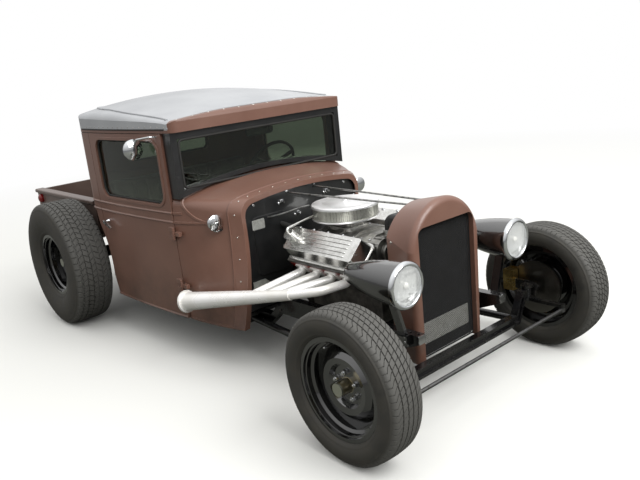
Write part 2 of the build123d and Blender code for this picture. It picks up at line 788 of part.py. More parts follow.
# Air cleaner: a pan, the drum of the element and a shallow domed lid with a rolled edge
with BuildPart() as air_cleaner:
    with BuildSketch(lengthwise(air_cleaner_x, 0, air_cleaner_z)):
        with BuildLine():
            Polyline(
                (0, 0), (58, 0), (64, 8), (air_cleaner_radius - 10, 8), (air_cleaner_radius, 14),
                (air_cleaner_radius, 22), (air_cleaner_radius - 7, 24), (air_cleaner_radius - 7, 74),
                (air_cleaner_radius, 76), (air_cleaner_radius, 84),
            )
            lid_edge = air_cleaner_radius - 12
            ThreePointArc((air_cleaner_radius, 84), (air_cleaner_radius - 4, 91), (lid_edge, 92))
            Line((lid_edge, 92), (120, 90))
            ThreePointArc((120, 90), (60, 97), (16, 99))
            Polyline((16, 99), (14, 112), (0, 114), (0, 0))
        make_face()
    revolve(axis=Axis((air_cleaner_x, 0, air_cleaner_z), (0, 0, 1)))
air_cleaner.part.label = "air_cleaner"
export_step(air_cleaner.part, "parts/air_cleaner.step")

with BuildPart() as valve_covers:
    for side in (left, right):
        bank = Plane(
            origin=(front_axle_x - 590, 0, crank_z),
            x_dir=(1, 0, 0),
            z_dir=(0, side * sin(radians(bank_angle)), cos(radians(bank_angle))),
        )
        with BuildSketch(bank.offset(head_base + head_height)):
            RectangleRounded(cover_length - 12, cover_width - 14, 26)
        extrude(amount=cover_height, taper=8)
        with BuildSketch(bank.offset(head_base + head_height)):
            RectangleRounded(cover_length, cover_width, 30)
        extrude(amount=10)
        with BuildSketch(bank.offset(head_base + head_height + cover_height)):
            with GridLocations(1, cover_rib_pitch, 1, 5):
                RectangleRounded(cover_length - 150, 9, 4)
        extrude(amount=5, taper=15)
        if side == right:
            with BuildSketch(bank.offset(head_base + head_height + cover_height)):
                with Locations(breather_place):
                    Circle(breather_radius)
            extrude(amount=breather_height)
            breather_top = head_base + head_height + cover_height + breather_height
            tube_foot = bank.from_local_coords(Vector(*breather_place, breather_top - 4))
            tube_end = Vector(air_cleaner_x - 100, -134, air_cleaner_z + 36)
            with BuildLine() as tube_route:
                FilletPolyline(tube_foot, tube_foot + bank.z_dir * 40, tube_end, radius=16)
            with BuildSketch(Plane(origin=tube_route.line @ 0, z_dir=tube_route.line % 0)):
                Circle(6)
            sweep(path=tube_route.line)
            add(air_cleaner.part, mode=Mode.SUBTRACT)
valve_covers.part.label = "valve_covers"
export_step(valve_covers.part, "parts/valve_covers.step")

# Intake: a plenum on four pairs of runners, the carburettor, the distributor and the thermostat
valley_z = 670
runner_width = 44
with BuildPart() as intake:
    with BuildSketch(across(engine_front_x - 45)):
        with BuildLine():
            Polyline(
                (-112, valley_z), (-150, 706), (-72, 716), (72, 716), (150, 706), (112, valley_z), close=True
            )
        make_face()
    extrude(amount=-430)
    for runner in range(4):
        with BuildSketch(across(front_port_x + runner_width / 2 - runner * bore_spacing)):
            with BuildLine():
                Polyline((-148, 700), (-70, 728), (70, 728), (148, 700), close=True)
            make_face()
        extrude(amount=-runner_width)
    with BuildSketch(Plane.XY.offset(716)):
        with Locations((air_cleaner_x, 0)):
            RectangleRounded(190, 150, 20)
    extrude(amount=18, taper=10)
    with BuildSketch(Plane.XY.offset(730)):
        with Locations((air_cleaner_x, 0)):
            RectangleRounded(150, 112, 16)
        with Locations((air_cleaner_x + 62, 0)):
            RectangleRounded(52, 92, 14)
    extrude(amount=air_cleaner_z - 730)
    # Distributor behind the carburettor, and the thermostat housing at the front
    with BuildSketch(Plane.XY.offset(700)):
        with Locations((engine_rear_x + 62, 0)):
            Circle(38)
    extrude(amount=46, taper=8)
    with BuildSketch(Plane.XY.offset(700)):
        with Locations((engine_front_x - 62, 0)):
            Circle(30)
    extrude(amount=40, taper=5)
intake.part.label = "intake"
export_step(intake.part, "parts/intake.step")

# Exhaust headers: four primaries that leave the heads square to their tilted faces, turn out
# and back, and run into a megaphone that widens to the rear
cone_front = (front_axle_x - 600, 505, 515)
cone_rear = (front_axle_x - 1330, 660, 380)
cone_front_radius = 26
cone_rear_radius = 51
cone_flange_radius = 62
primary_radius = 22
stub_length = 26
for side in (left, right):
    name = side_names[side]
    front_point = Vector(cone_front[0], side * cone_front[1], cone_front[2])
    rear_point = Vector(cone_rear[0], side * cone_rear[1], cone_rear[2])
    cone_direction = (rear_point - front_point).normalized()
    face_direction = Vector(0, side * cos(radians(bank_angle)), -sin(radians(bank_angle)))
    with BuildPart() as header:
        with BuildSketch(Plane(origin=front_point, z_dir=cone_direction)):
            Circle(cone_front_radius)
        with BuildSketch(Plane(origin=rear_point, z_dir=cone_direction)):
            Circle(cone_rear_radius)
        loft()
        with BuildSketch(Plane(origin=rear_point, z_dir=cone_direction)):
            Circle(cone_flange_radius)
        extrude(amount=12)
        for cylinder in range(4):
            port_x = front_port_x - cylinder * bore_spacing
            port = Vector(port_x, side * port_y, port_z)
            stub_end = port + face_direction * stub_length
            if cylinder == 0:
                corner = Vector(port_x - 8, side * 440, port_z - 14)
                corners = [port, stub_end, corner, front_point, front_point + cone_direction * 40]
                radii = [16, 70, 70]
            else:
                reach = (cone_front[0] - port_x + 100) / (cone_front[0] - cone_rear[0])
                corners = [port, stub_end, front_point + (rear_point - front_point) * reach]
                radii = [16]
            with BuildLine() as route:
                FilletPolyline(*corners, radius=radii)
            with BuildSketch(Plane(origin=port, z_dir=route.line % 0)):
                Circle(primary_radius)
            sweep(path=route.line)
            with BuildSketch(Plane(origin=port, x_dir=(1, 0, 0), z_dir=face_direction)):
                RectangleRounded(88, 60, 16)
            extrude(amount=9)
    header.part.label = f"header_{name}"
    export_step(header.part, f"parts/header_{name}.step")

gearbox_length = 520
with BuildPart() as gearbox:
    with BuildSketch(across(engine_rear_x, crank_z)):
        Circle(205)
    with BuildSketch(across(firewall_x - 10, tunnel_z)):
        Circle(120)
    loft()
    with BuildSketch(across(firewall_x - 10, tunnel_z)):
        Circle(110)
    extrude(amount=-gearbox_length)
    # Mount on the crossmember below
    with Locations((firewall_x - 330, 0, 266)):
        Box(80, 110, 52)
gearbox.part.label = "gearbox"
export_step(gearbox.part, "parts/gearbox.step")

# Drive ahead of the block: crank and pump pulleys, the fan, the alternator and one belt
belt_x = engine_front_x + 44
belt_width = 12
belt_thickness = 7
crank_pulley = (0, crank_z, 84)
pump_pulley = (0, pump_z, 62)
alternator_pulley = (-124, 676, 36)
fan_x = engine_front_x + 72
fan_radius = 188
fan_blades = 6


def pulley_at(place, depth):
    """Grooved pulley of the given place and radius, whose groove is centred on the belt."""
    y, z, radius = place
    with BuildPart() as pulley:
        with BuildSketch(lengthwise(belt_x, y, z)):
            with BuildLine():
                Polyline(
                    (-depth, 0), (-depth, 22), (-12, 26), (-12, radius), (-8, radius), (-5, radius - 11),
                    (5, radius - 11), (8, radius), (12, radius), (12, radius - 12), (4, radius - 14),
                    (4, 16), (14, 14), (14, 0), close=True,
                )
            make_face()
        revolve(axis=Axis((belt_x, y, z), (1, 0, 0)))
    return pulley.part


with BuildPart() as engine_drive:
    add(pulley_at(crank_pulley, 44))
    add(pulley_at(pump_pulley, 44))
    # Alternator: a round body with cooling flutes, on an arm from the block
    with BuildSketch(across(belt_x - 16)):
        with Locations(alternator_pulley[:2]):
            Circle(60)
    extrude(amount=-60)
    with BuildSketch(across(belt_x - 20)):
        with Locations(alternator_pulley[:2]):
            with PolarLocations(60, 10):
                Rectangle(10, 12)
    extrude(amount=-52, mode=Mode.SUBTRACT)
    add(pulley_at(alternator_pulley, 30))
    # Belt: a V belt round the three pulleys
    with BuildSketch(across(belt_x - belt_width / 2)) as belt_outline:
        for y, z, radius in (crank_pulley, pump_pulley, alternator_pulley):
            with Locations((y, z)):
                Circle(radius - 11 + belt_thickness)
        make_hull()
        offset(amount=-belt_thickness, mode=Mode.SUBTRACT)
    extrude(amount=belt_width)
    # Fan of twisted blades on the pump's nose
    with BuildSketch(across(belt_x)):
        with Locations((0, pump_z)):
            Circle(30)
    extrude(amount=fan_x - belt_x + 6)
    for blade in range(fan_blades):
        blade_angle = blade * 360 / fan_blades
        blade_direction = Vector(0, cos(radians(blade_angle)), sin(radians(blade_angle)))
        blade_root = Plane(
            origin=Vector(fan_x, 0, pump_z) + blade_direction * 22,
            x_dir=blade_direction.cross(Vector(1, 0, 0)),
            z_dir=blade_direction,
        )
        with BuildSketch(blade_root.rotated((0, 0, 22))):
            Rectangle(44, 4)
        with BuildSketch(blade_root.offset(fan_radius - 22).rotated((0, 0, 12))):
            Rectangle(92, 4)
        loft()
    for neighbour in (engine, intake, valve_covers):
        add(neighbour.part, mode=Mode.SUBTRACT)
engine_drive.part.label = "engine_drive"
export_step(engine_drive.part, "parts/engine_drive.step")


# Radiator, grille shell and mesh. The shell widens and rises to the front. Columns are the
# half-width, the height of the shoulder and of the top, at the rear and at the front
shell_bottom_z = 200
shell_rear = (210, 775, 905)
shell_front = (248, 720, 941)
shell_skin = 10
shell_face_depth = 34
shell_edge_radius = 28
opening_half_width = 197
opening_top_z = 828
opening_radius = 38
tank_z = 822
with BuildPart() as radiator:
    with Locations((shell_rear_x + 52, 0, 512)):
        Box(64, 2 * 172, 2 * 286)
    with BuildSketch(across(shell_rear_x + 88, tank_z)):
        RectangleRounded(2 * 134, 68, 24)
    extrude(amount=-138)
    # Filler neck and cap, and the top hose to the thermostat
    with BuildSketch(lengthwise(shell_rear_x - 20, 0, tank_z)):
        with BuildLine():
            Polyline(
                (0, 0), (22, 0), (22, 46), (30, 46), (32, 50), (30, 60),
                (14, 62), (12, 68), (0, 69), close=True,
            )
        make_face()
    revolve(axis=Axis((shell_rear_x - 20, 0, tank_z), (0, 0, 1)))
    hose_start = Vector(shell_rear_x - 40, 60, tank_z - 4)
    hose_end = Vector(engine_front_x - 62, 0, 738)
    with BuildLine() as hose_route:
        FilletPolyline(
            hose_start, hose_start - Vector(60, 0, 0), hose_end + Vector(0, 0, 54), hose_end, radius=30
        )
    with BuildSketch(Plane(origin=hose_route.line @ 0, z_dir=hose_route.line % 0)):
        Circle(19)
    sweep(path=hose_route.line)
    add(intake.part, mode=Mode.SUBTRACT)
radiator.part.label = "radiator"
export_step(radiator.part, "parts/radiator.step")


def shell_section(x, skin):
    """Outline of the grille shell at one place, moved inward by a skin and then open below."""
    part_way = (x - shell_rear_x) / (shell_front_x - shell_rear_x)
    half_width, shoulder_z, top_z = (a + (b - a) * part_way - skin for a, b in zip(shell_rear, shell_front))
    bottom = shell_bottom_z - skin
    with BuildSketch(across(x)) as section:
        with BuildLine():
            Polyline(
                (-half_width, shoulder_z), (8 - half_width, bottom),
                (half_width - 8, bottom), (half_width, shoulder_z),
            )
            ThreePointArc((half_width, shoulder_z), (0, top_z), (-half_width, shoulder_z))
        make_face()
    return section.sketch


with BuildSketch(across(shell_front_x)) as grille_opening:
    with BuildLine():
        Polyline(
            (-opening_half_width, opening_top_z), (3 - opening_half_width, shell_bottom_z - 50),
            (opening_half_width - 3, shell_bottom_z - 50), (opening_half_width, opening_top_z), close=True,
        )
    make_face()
    fillet(grille_opening.vertices().group_by(Axis.Y)[-1], opening_radius)

with BuildPart() as grille_shell:
    add(shell_section(shell_rear_x, 0))
    add(shell_section(shell_front_x, 0))
    loft()
    fillet(grille_shell.faces().sort_by(Axis.X)[-1].edges().sort_by(Axis.Z)[1:], shell_edge_radius)
    with BuildPart(mode=Mode.SUBTRACT):
        add(shell_section(shell_rear_x - 1, shell_skin))
        add(shell_section(shell_front_x - shell_face_depth, shell_skin))
        loft()
    extrude(grille_opening.sketch, amount=80, both=True, mode=Mode.SUBTRACT)
grille_shell.part.label = "grille_shell"
export_step(grille_shell.part, "parts/grille_shell.step")

# Mesh: a flat panel that fills the opening behind its edge
with BuildPart() as grille_mesh:
    with BuildSketch(across(shell_front_x - 24)):
        add(grille_opening.sketch_local)
    extrude(amount=-8)
    with Locations((shell_front_x - 28, 0, shell_bottom_z - 54)):
        Box(60, 600, 120, mode=Mode.SUBTRACT)
grille_mesh.part.label = "grille_mesh"
export_step(grille_mesh.part, "parts/grille_mesh.step")

# Headlamps on stands, with long torpedo buckets
lamp_x = front_axle_x + 39
lamp_y = 395
lamp_z = 650
lamp_radius = 104
lens_radius = 83.5
bucket_length = 350
bucket_radius = 97
with BuildPart() as headlamp_buckets:
    for side in (left, right):
        with BuildSketch(lengthwise(lamp_x, side * lamp_y, lamp_z)):
            with BuildLine():
                Line((0, 0), (-bucket_length, 0))
                ThreePointArc((-bucket_length, 0), (-bucket_length + 8, 26), (-bucket_length + 30, 46))
                ThreePointArc((-bucket_length + 30, 46), (-170, 82), (-14, bucket_radius))
                Polyline((-14, bucket_radius), (0, bucket_radius), (0, 0))
            make_face()
        revolve(axis=Axis((lamp_x, side * lamp_y, lamp_z), (1, 0, 0)))
        with Locations((lamp_x - 84, side * (rail_y + rail_width / 2 + 11), 366)):
            Box(46, 22, 50)
        stand_foot = Vector(lamp_x - 84, side * (rail_y + rail_width / 2 + 12), 378)
        stand_head = Vector(lamp_x - 84, side * lamp_y, lamp_z - 80)
        with BuildSketch(Plane(origin=stand_foot, x_dir=(1, 0, 0), z_dir=stand_head - stand_foot)):
            Rectangle(42, 16)
        extrude(amount=(stand_head - stand_foot).length)
headlamp_buckets.part.label = "headlamp_buckets"
export_step(headlamp_buckets.part, "parts/headlamp_buckets.step")

with BuildPart() as headlamp_rims:
    for side in (left, right):
        with BuildSketch(lengthwise(lamp_x, side * lamp_y, lamp_z)):
            with BuildLine():
                Polyline((13, lens_radius + 0.5), (0, lens_radius + 0.5), (0, lamp_radius))
                ThreePointArc((0, lamp_radius), (12, lamp_radius - 3), (18, lamp_radius - 11))
                ThreePointArc((18, lamp_radius - 11), (17, lamp_radius - 17), (13, lens_radius + 0.5))
            make_face()
        revolve(axis=Axis((lamp_x, side * lamp_y, lamp_z), (1, 0, 0)))
headlamp_rims.part.label = "headlamp_rims"
export_step(headlamp_rims.part, "parts/headlamp_rims.step")

lens_crown = 34
lens_sphere = (lens_radius**2 + (lens_crown - 14)**2) / (2 * (lens_crown - 14))
lens_angle = degrees(asin(lens_radius / lens_sphere))
with BuildPart() as headlamp_lenses:
    for side in (left, right):
        with BuildSketch(lengthwise(lamp_x, side * lamp_y, lamp_z)):
            with BuildLine():
                Line((0, 0), (0, lens_radius))
                Line((0, lens_radius), (14, lens_radius))
                CenterArc((lens_crown - lens_sphere, 0), lens_sphere, 0, lens_angle)
                Line((lens_crown, 0), (0, 0))
            make_face()
        revolve(axis=Axis((lamp_x, side * lamp_y, lamp_z), (1, 0, 0)))
headlamp_lenses.part.label = "headlamp_lenses"
export_step(headlamp_lenses.part, "parts/headlamp_lenses.step")

# Two stays from the firewall to the rear edge of the grille shell
stay_radius = 5
stay_foot = (firewall_x - firewall_inset + firewall_thickness / 2 + 1, 95, 893)
stay_head = (shell_rear_x, 52, 894)
with BuildPart() as radiator_stays:
    for side in (left, right):
        foot = Vector(stay_foot[0], side * stay_foot[1], stay_foot[2])
        head = Vector(stay_head[0], side * stay_head[1], stay_head[2])
        with BuildSketch(Plane(origin=foot, z_dir=head - foot)):
            Circle(stay_radius)
        extrude(amount=(head - foot).length + stay_radius)
    with Locations((shell_rear_x + 25, 0, stay_head[2])):
        Box(50, 200, 60, mode=Mode.SUBTRACT)
radiator_stays.part.label = "radiator_stays"
export_step(radiator_stays.part, "parts/radiator_stays.step")

cowl_lamp_x = front_axle_x - 1150
cowl_lamp_y = 530
cowl_lamp_z = 812
with BuildPart() as cowl_lamps:
    for side in (left, right):
        lamp_centre = (cowl_lamp_x, side * cowl_lamp_y, cowl_lamp_z)
        with BuildSketch(lengthwise(*lamp_centre)):
            with BuildLine():
                Line((-46, 0), (-46, 4))
                ThreePointArc((-46, 4), (-32, 27), (0, 39))
                Polyline((0, 39), (0, 43), (9, 43), (12, 37))
                ThreePointArc((12, 37), (17, 20), (19, 4))
                Polyline((19, 4), (19, 0), (-46, 0))
            make_face()
        revolve(axis=Axis(lamp_centre, (1, 0, 0)))
        with Locations((cowl_lamp_x - 10, side * (cowl_lamp_y - 50), cowl_lamp_z - 40)):
            Box(24, 100, 20)
    add(cowl_outer, mode=Mode.SUBTRACT)
    add(cowl_ridges.part, mode=Mode.SUBTRACT)
cowl_lamps.part.label = "cowl_lamps"
export_step(cowl_lamps.part, "parts/cowl_lamps.step")


# Front axle: a dropped beam with bosses for the kingpins, a transverse spring and radius rods
hub_z = front_tyre_radius
boss_half_height = 22
boss_radius = 26
kingpin_radius = 11
kingpin_play = 0.05
spring_x = shell_rear_x - 25
rod_front_y = 440
with BuildPart() as front_axle:
    with BuildSketch(across(front_axle_x)):
        with BuildLine():
            Polyline(
                (-kingpin_y, hub_z - boss_half_height), (-kingpin_y, hub_z + boss_half_height),
                (-490, hub_z + boss_half_height), (-430, 236), (430, 236), (490, hub_z + boss_half_height),
                (kingpin_y, hub_z + boss_half_height), (kingpin_y, hub_z - boss_half_height),
                (512, hub_z - boss_half_height), (455, 186), (-455, 186), (-512, hub_z - boss_half_height),
                close=True,
            )
        make_face()
    extrude(amount=20, both=True)
    for side in (left, right):
        with BuildSketch(Plane.XY.offset(hub_z - boss_half_height)):
            with Locations((front_axle_x, side * kingpin_y)):
                Circle(boss_radius)
        extrude(amount=2 * boss_half_height)
        rod_front = Vector(front_axle_x - 8, side * rod_front_y, 214)
        rod_rear = Vector(rod_bracket_x - 4, side * rod_rear_y, 214)
        with BuildSketch(Plane(origin=rod_front, z_dir=rod_rear - rod_front)):
            Circle(19)
        extrude(amount=(rod_rear - rod_front).length)
        # Perch that stands on the rod and carries the spring's end
        with Locations((spring_x, side * 415, 240)):
            Box(40, 26, 60)
    # Leaf spring behind the beam, bowed up under the crossmember
    with BuildSketch(across(spring_x - 20)):
        with BuildLine():
            ThreePointArc((-415, 270), (0, 300), (415, 270))
            Line((415, 270), (415, 250))
            ThreePointArc((415, 250), (0, 268), (-415, 250))
            Line((-415, 250), (-415, 270))
        make_face()
    extrude(amount=40)
    for side in (left, right):
        with BuildSketch(Plane.XY.offset(hub_z - boss_half_height - 5)):
            with Locations((front_axle_x, side * kingpin_y)):
                Circle(kingpin_radius + kingpin_play)
        extrude(amount=2 * boss_half_height + 10, mode=Mode.SUBTRACT)
    # I section: a channel down the front and the back of the beam
    for face in (1, -1):
        with BuildSketch(across(front_axle_x + face * 20)):
            with BuildLine():
                Polyline(
                    (-484, 322), (-430, 226), (430, 226), (484, 322),
                    (496, 308), (449, 198), (-449, 198), (-496, 308), close=True,
                )
            make_face()
        extrude(amount=-face * 13, mode=Mode.SUBTRACT)
    add(frame_rails.part, mode=Mode.SUBTRACT)
front_axle.part.label = "front_axle"
export_step(front_axle.part, "parts/front_axle.step")

# Knuckles: a fork round the axle's boss, the kingpin, the spindle, the steering arm and the caliper
spindle_radius = 17
fit_play = 0.05
arm_pin_radius = 8
ear_thickness = 16
ear_gap = 2
ear_low = hub_z - boss_half_height - ear_gap - ear_thickness
ear_high = hub_z + boss_half_height + ear_gap
rotor_y = 642
for side in (left, right):
    name = side_names[side]
    with BuildPart() as knuckle:
        for ear_z in (ear_low, ear_high):
            with BuildSketch(Plane.XY.offset(ear_z)):
                with Locations((front_axle_x, side * kingpin_y)):
                    Circle(boss_radius)
                with Locations((front_axle_x, side * (kingpin_y + 24))):
                    Rectangle(2 * boss_radius, 48)
            extrude(amount=ear_thickness)
        with BuildSketch(Plane.XY.offset(ear_low)):
            with Locations((front_axle_x, side * kingpin_y)):
                Circle(kingpin_radius)
        extrude(amount=ear_high + ear_thickness - ear_low)
        with Locations((front_axle_x, side * (kingpin_y + 42), hub_z)):
            Box(60, 20, ear_high + ear_thickness - ear_low)
        with BuildSketch(outboard(front_axle_x, side * (kingpin_y + 50), hub_z, side)):
            Circle(spindle_radius)
        extrude(amount=134)
        # Steering arm, straight ahead, with its pin pointing down
        arm_middle = (front_axle_x + steering_arm_length / 2, side * kingpin_y, ear_low + ear_thickness / 2)
        with Locations(arm_middle):
            Box(steering_arm_length, 24, ear_thickness)
        with BuildSketch(Plane.XY.offset(ear_low)):
            with Locations((front_axle_x + steering_arm_length, side * kingpin_y)):
                Circle(16)
        extrude(amount=ear_thickness)
        with BuildSketch(Plane.XY.offset(ear_low)):
            with Locations((front_axle_x + steering_arm_length, side * kingpin_y)):
                Circle(arm_pin_radius)
        extrude(amount=-26)
        # Caliper behind the spindle, open to the rotor's edge
        with Locations((front_axle_x - 132, side * (rotor_y - 19), hub_z + 30)):
            Box(62, 74, 110)
        with Locations((front_axle_x - 118, side * rotor_y, hub_z + 30)):
            Box(62, 24, 130, mode=Mode.SUBTRACT)
        with Locations((front_axle_x - 72, side * (kingpin_y + 46), hub_z + 20)):
            Box(120, 12, 50)
    knuckle.part.label = f"knuckle_{name}"
    export_step(knuckle.part, f"parts/knuckle_{name}.step")

tie_rod_z = ear_low - 12
with BuildPart() as tie_rod:
    rod_x = front_axle_x + steering_arm_length
    for side in (left, right):
        with BuildSketch(Plane.XY.offset(tie_rod_z - 10)):
            with Locations((rod_x, side * kingpin_y)):
                Circle(15)
        extrude(amount=20)
    with BuildSketch(Plane(origin=(rod_x, -kingpin_y + 10, tie_rod_z), x_dir=(1, 0, 0), z_dir=(0, 1, 0))):
        Circle(8.5)
    extrude(amount=2 * kingpin_y - 20)
    for side in (left, right):
        with BuildSketch(Plane.XY.offset(tie_rod_z - 30)):
            with Locations((rod_x, side * kingpin_y)):
                Circle(arm_pin_radius + (fit_play if side == left else 1.0))
        extrude(amount=60, mode=Mode.SUBTRACT)
tie_rod.part.label = "tie_rod"
export_step(tie_rod.part, "parts/tie_rod.step")


# Rear axle: tubes, centre casing, radius arms and backing plates
stub_radius = 20
shaft_radius = 30
shock_y = 230
coil_radius = 30
coil_pitch = 15
coil_start = 40
coil_count = 7
with BuildPart() as rear_axle:
    with BuildSketch(Plane(origin=(rear_axle_x, -600, rear_tyre_radius), x_dir=(1, 0, 0), z_dir=(0, 1, 0))):
        Circle(40)
    extrude(amount=1200)
    with Locations((rear_axle_x, 0, rear_tyre_radius)):
        Sphere(112)
    for side in (left, right):
        with BuildSketch(outboard(rear_axle_x, side * 590, rear_tyre_radius, side)):
            Circle(140)
        extrude(amount=8)
        with BuildSketch(outboard(rear_axle_x, side * 590, rear_tyre_radius, side)):
            Circle(stub_radius)
        extrude(amount=150)
        arm_rear = Vector(rear_axle_x, side * 440, rear_tyre_radius - 48)
        arm_front = Vector(step_x - 30, side * (rail_y + 42), 203)
        with BuildSketch(Plane(origin=arm_rear, z_dir=arm_front - arm_rear)):
            Circle(18)
        extrude(amount=(arm_front - arm_rear).length)
        # Shock absorber in its coil spring, from the axle to the crossmember behind it
        shock_foot = Vector(rear_axle_x - 20, side * shock_y, rear_tyre_radius + 20)
        shock_head = Vector(rear_axle_x - 180, side * shock_y, 522)
        shock_plane = Plane(origin=shock_foot, z_dir=shock_head - shock_foot)
        with BuildSketch(shock_plane):
            Circle(14)
        extrude(amount=(shock_head - shock_foot).length)
        for coil in range(coil_count):
            with BuildSketch(shock_plane.offset(coil_start + coil * coil_pitch)):
                Circle(coil_radius)
            extrude(amount=coil_pitch / 2)
    # Nose of the differential and the driveshaft to the gearbox
    nose = Vector(rear_axle_x + 90, 0, rear_tyre_radius - 2)
    shaft_end = Vector(firewall_x - 10 - gearbox_length, 0, tunnel_z)
    with BuildSketch(Plane(origin=nose, z_dir=shaft_end - nose)):
        Circle(58)
    extrude(amount=60, taper=12)
    with BuildSketch(Plane(origin=nose, z_dir=shaft_end - nose)):
        Circle(shaft_radius)
    extrude(amount=(shaft_end - nose).length + 6)
    add(frame_rails.part, mode=Mode.SUBTRACT)
    add(gearbox.part, mode=Mode.SUBTRACT)
rear_axle.part.label = "rear_axle"
export_step(rear_axle.part, "parts/rear_axle.step")


# Wheels and tyres. Each is a profile turned round the wheel's axis. The sketch plane holds the
# axis as its x, pointing outboard, and the radius as its y.

def wheel_plane(x, side, half_track, radius):
    return Plane(origin=(x, side * half_track, radius), x_dir=(0, side, 0), z_dir=(side, 0, 0))


# Columns: place of the axle, its x, half-track, tyre radius and width, rim radius
axle_table = (
    ("front", front_axle_x, front_half_track, front_tyre_radius, front_tyre_width, front_rim_radius),
    ("rear", rear_axle_x, rear_half_track, rear_tyre_radius, rear_tyre_width, rear_rim_radius),
)
for end, axle_x, half_track, tyre_radius, tyre_width, rim_radius in axle_table:
    for side in (left, right):
        name = f"{end}_{side_names[side]}"
        turning_plane = wheel_plane(axle_x, side, half_track, tyre_radius)
        turning_axis = Axis(turning_plane.origin, (0, 1, 0))
        half = tyre_width / 2
        seat_half = half * 0.72
        flange_top = rim_radius + 12
        middle = (flange_top + tyre_radius) / 2
        with BuildPart() as tyre:
            with BuildSketch(turning_plane):
                with BuildLine():
                    foot = seat_half + 6
                    shoulder, shoulder_radius = half * 0.88, tyre_radius - 22
                    round_point = (half * 0.82, tyre_radius - 10)
                    edge, edge_radius = half * 0.70, tyre_radius - 4
                    seat_radius = rim_radius + 0.3
                    Polyline(
                        (-foot, flange_top + 1), (-seat_half, flange_top + 1), (-seat_half, seat_radius),
                        (seat_half, seat_radius), (seat_half, flange_top + 1), (foot, flange_top + 1),
                    )
                    ThreePointArc((foot, flange_top + 1), (half, middle), (shoulder, shoulder_radius))
                    ThreePointArc((shoulder, shoulder_radius), round_point, (edge, edge_radius))
                    ThreePointArc((edge, edge_radius), (0, tyre_radius), (-edge, edge_radius))
                    ThreePointArc(
                        (-edge, edge_radius), (-round_point[0], round_point[1]), (-shoulder, shoulder_radius)
                    )
                    ThreePointArc((-shoulder, shoulder_radius), (-half, middle), (-foot, flange_top + 1))
                make_face()
            revolve(axis=turning_axis)
        tyre.part.label = f"tyre_{name}"
        export_step(tyre.part, f"parts/tyre_{name}.step")

        rim_half = seat_half + 5
        bore = (spindle_radius if end == "front" else stub_radius) + fit_play
        dish = 6 if end == "front" else -10
        rotor_inner = rotor_y - 6 - front_half_track if end == "front" else -150
        with BuildPart() as wheel:
            # Rim with its drop centre
            with BuildSketch(turning_plane):
                with BuildLine():
                    Polyline(
                        (-rim_half, flange_top), (-rim_half, rim_radius - 6),
                        (-rim_half + 30, rim_radius - 8), (-rim_half + 40, rim_radius - 26),
                        (rim_half - 42, rim_radius - 26), (rim_half - 34, rim_radius - 14),
                        (rim_half - 14, rim_radius - 12), (rim_half - 12, rim_radius - 7),
                        (rim_half, rim_radius - 5), (rim_half, flange_top),
                        (rim_half - 5, flange_top), (rim_half - 5, rim_radius),
                        (-rim_half + 5, rim_radius), (-rim_half + 5, flange_top), close=True,
                    )
                make_face()
            revolve(axis=turning_axis)
            # Disc with a raised hump round the hub
            with BuildSketch(turning_plane):
                with BuildLine():
                    Polyline(
                        (dish - 22, rim_radius - 16), (dish - 22, 165), (dish + 4, 140), (dish + 20, 120),
                        (dish + 14, 96), (dish - 6, 84), (dish - 6, bore), (dish + 0, bore),
                        (dish + 0, 82), (dish + 20, 94), (dish + 26, 120), (dish + 10, 142),
                        (dish - 16, 168), (dish - 16, rim_radius - 16), close=True,
                    )
                make_face()
            revolve(axis=turning_axis)
            # Hub barrel and grease cap
            with BuildSketch(turning_plane):
                with BuildLine():
                    Polyline(
                        (rotor_inner, bore), (rotor_inner, 60), (dish, 60), (dish + 4, 32), (dish + 62, 28),
                        (dish + 62, 0), (20, 0), (20, bore), close=True,
                    )
                make_face()
            revolve(axis=turning_axis)
            # Brake rotor, or drum at the rear
            with BuildSketch(turning_plane):
                with BuildLine():
                    Polyline(
                        (rotor_inner, 50), (rotor_inner, 140),
                        (rotor_inner + 12, 140), (rotor_inner + 12, 50), close=True,
                    )
                make_face()
            revolve(axis=turning_axis)
        wheel.part.label = f"wheel_{name}"
        export_step(wheel.part, f"parts/wheel_{name}.step")


# Chrome fittings on the doors: a lever handle each, and a round mirror on the right
for side in (left, right):
    name = side_names[side]
    with BuildPart() as door_fittings:
        handle_plane = outboard(front_axle_x - 2210, side * 640, 735, side)
        with BuildSketch(handle_plane):
            Circle(14)
        extrude(amount=24, taper=12)
        with BuildSketch(handle_plane):
            Circle(8)
        extrude(amount=42)
        with BuildSketch(handle_plane.offset(32)) as lever:
            with BuildLine():
                Polyline((-11, -9), (-11, 9), (84, side * 34 + 5), (84, side * 34 - 5), close=True)
            make_face()
            fillet(lever.vertices(), 4)
        extrude(amount=11)
        if side == right:
            mirror_centre = (front_axle_x - 1610, -690, 1206)
            with BuildSketch(lengthwise(*mirror_centre)):
                with BuildLine():
                    Polyline((16, 4), (16, 0), (-10, 0), (-10, 57), (-2, 57))
                    ThreePointArc((-2, 57), (10, 38), (16, 4))
                make_face()
            revolve(axis=Axis(mirror_centre, (1, 0, 0)))
            with BuildLine() as mirror_route:
                FilletPolyline(
                    (front_axle_x - 1470, -612, 1268), (front_axle_x - 1475, -660, 1272),
                    (front_axle_x - 1560, -690, 1262), (front_axle_x - 1606, -690, 1222), radius=16,
                )
            with BuildSketch(Plane(origin=mirror_route.line @ 0, z_dir=mirror_route.line % 0)):
                Circle(5)
            sweep(path=mirror_route.line)
        add(cab_ring.part, mode=Mode.SUBTRACT)
    door_fittings.part.label = f"door_fittings_{name}"
    export_step(door_fittings.part, f"parts/door_fittings_{name}.step")
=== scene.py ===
import math

import bmesh
import bpy
import numpy as np
from mathutils import Matrix, Vector
from mathutils.bvhtree import BVHTree


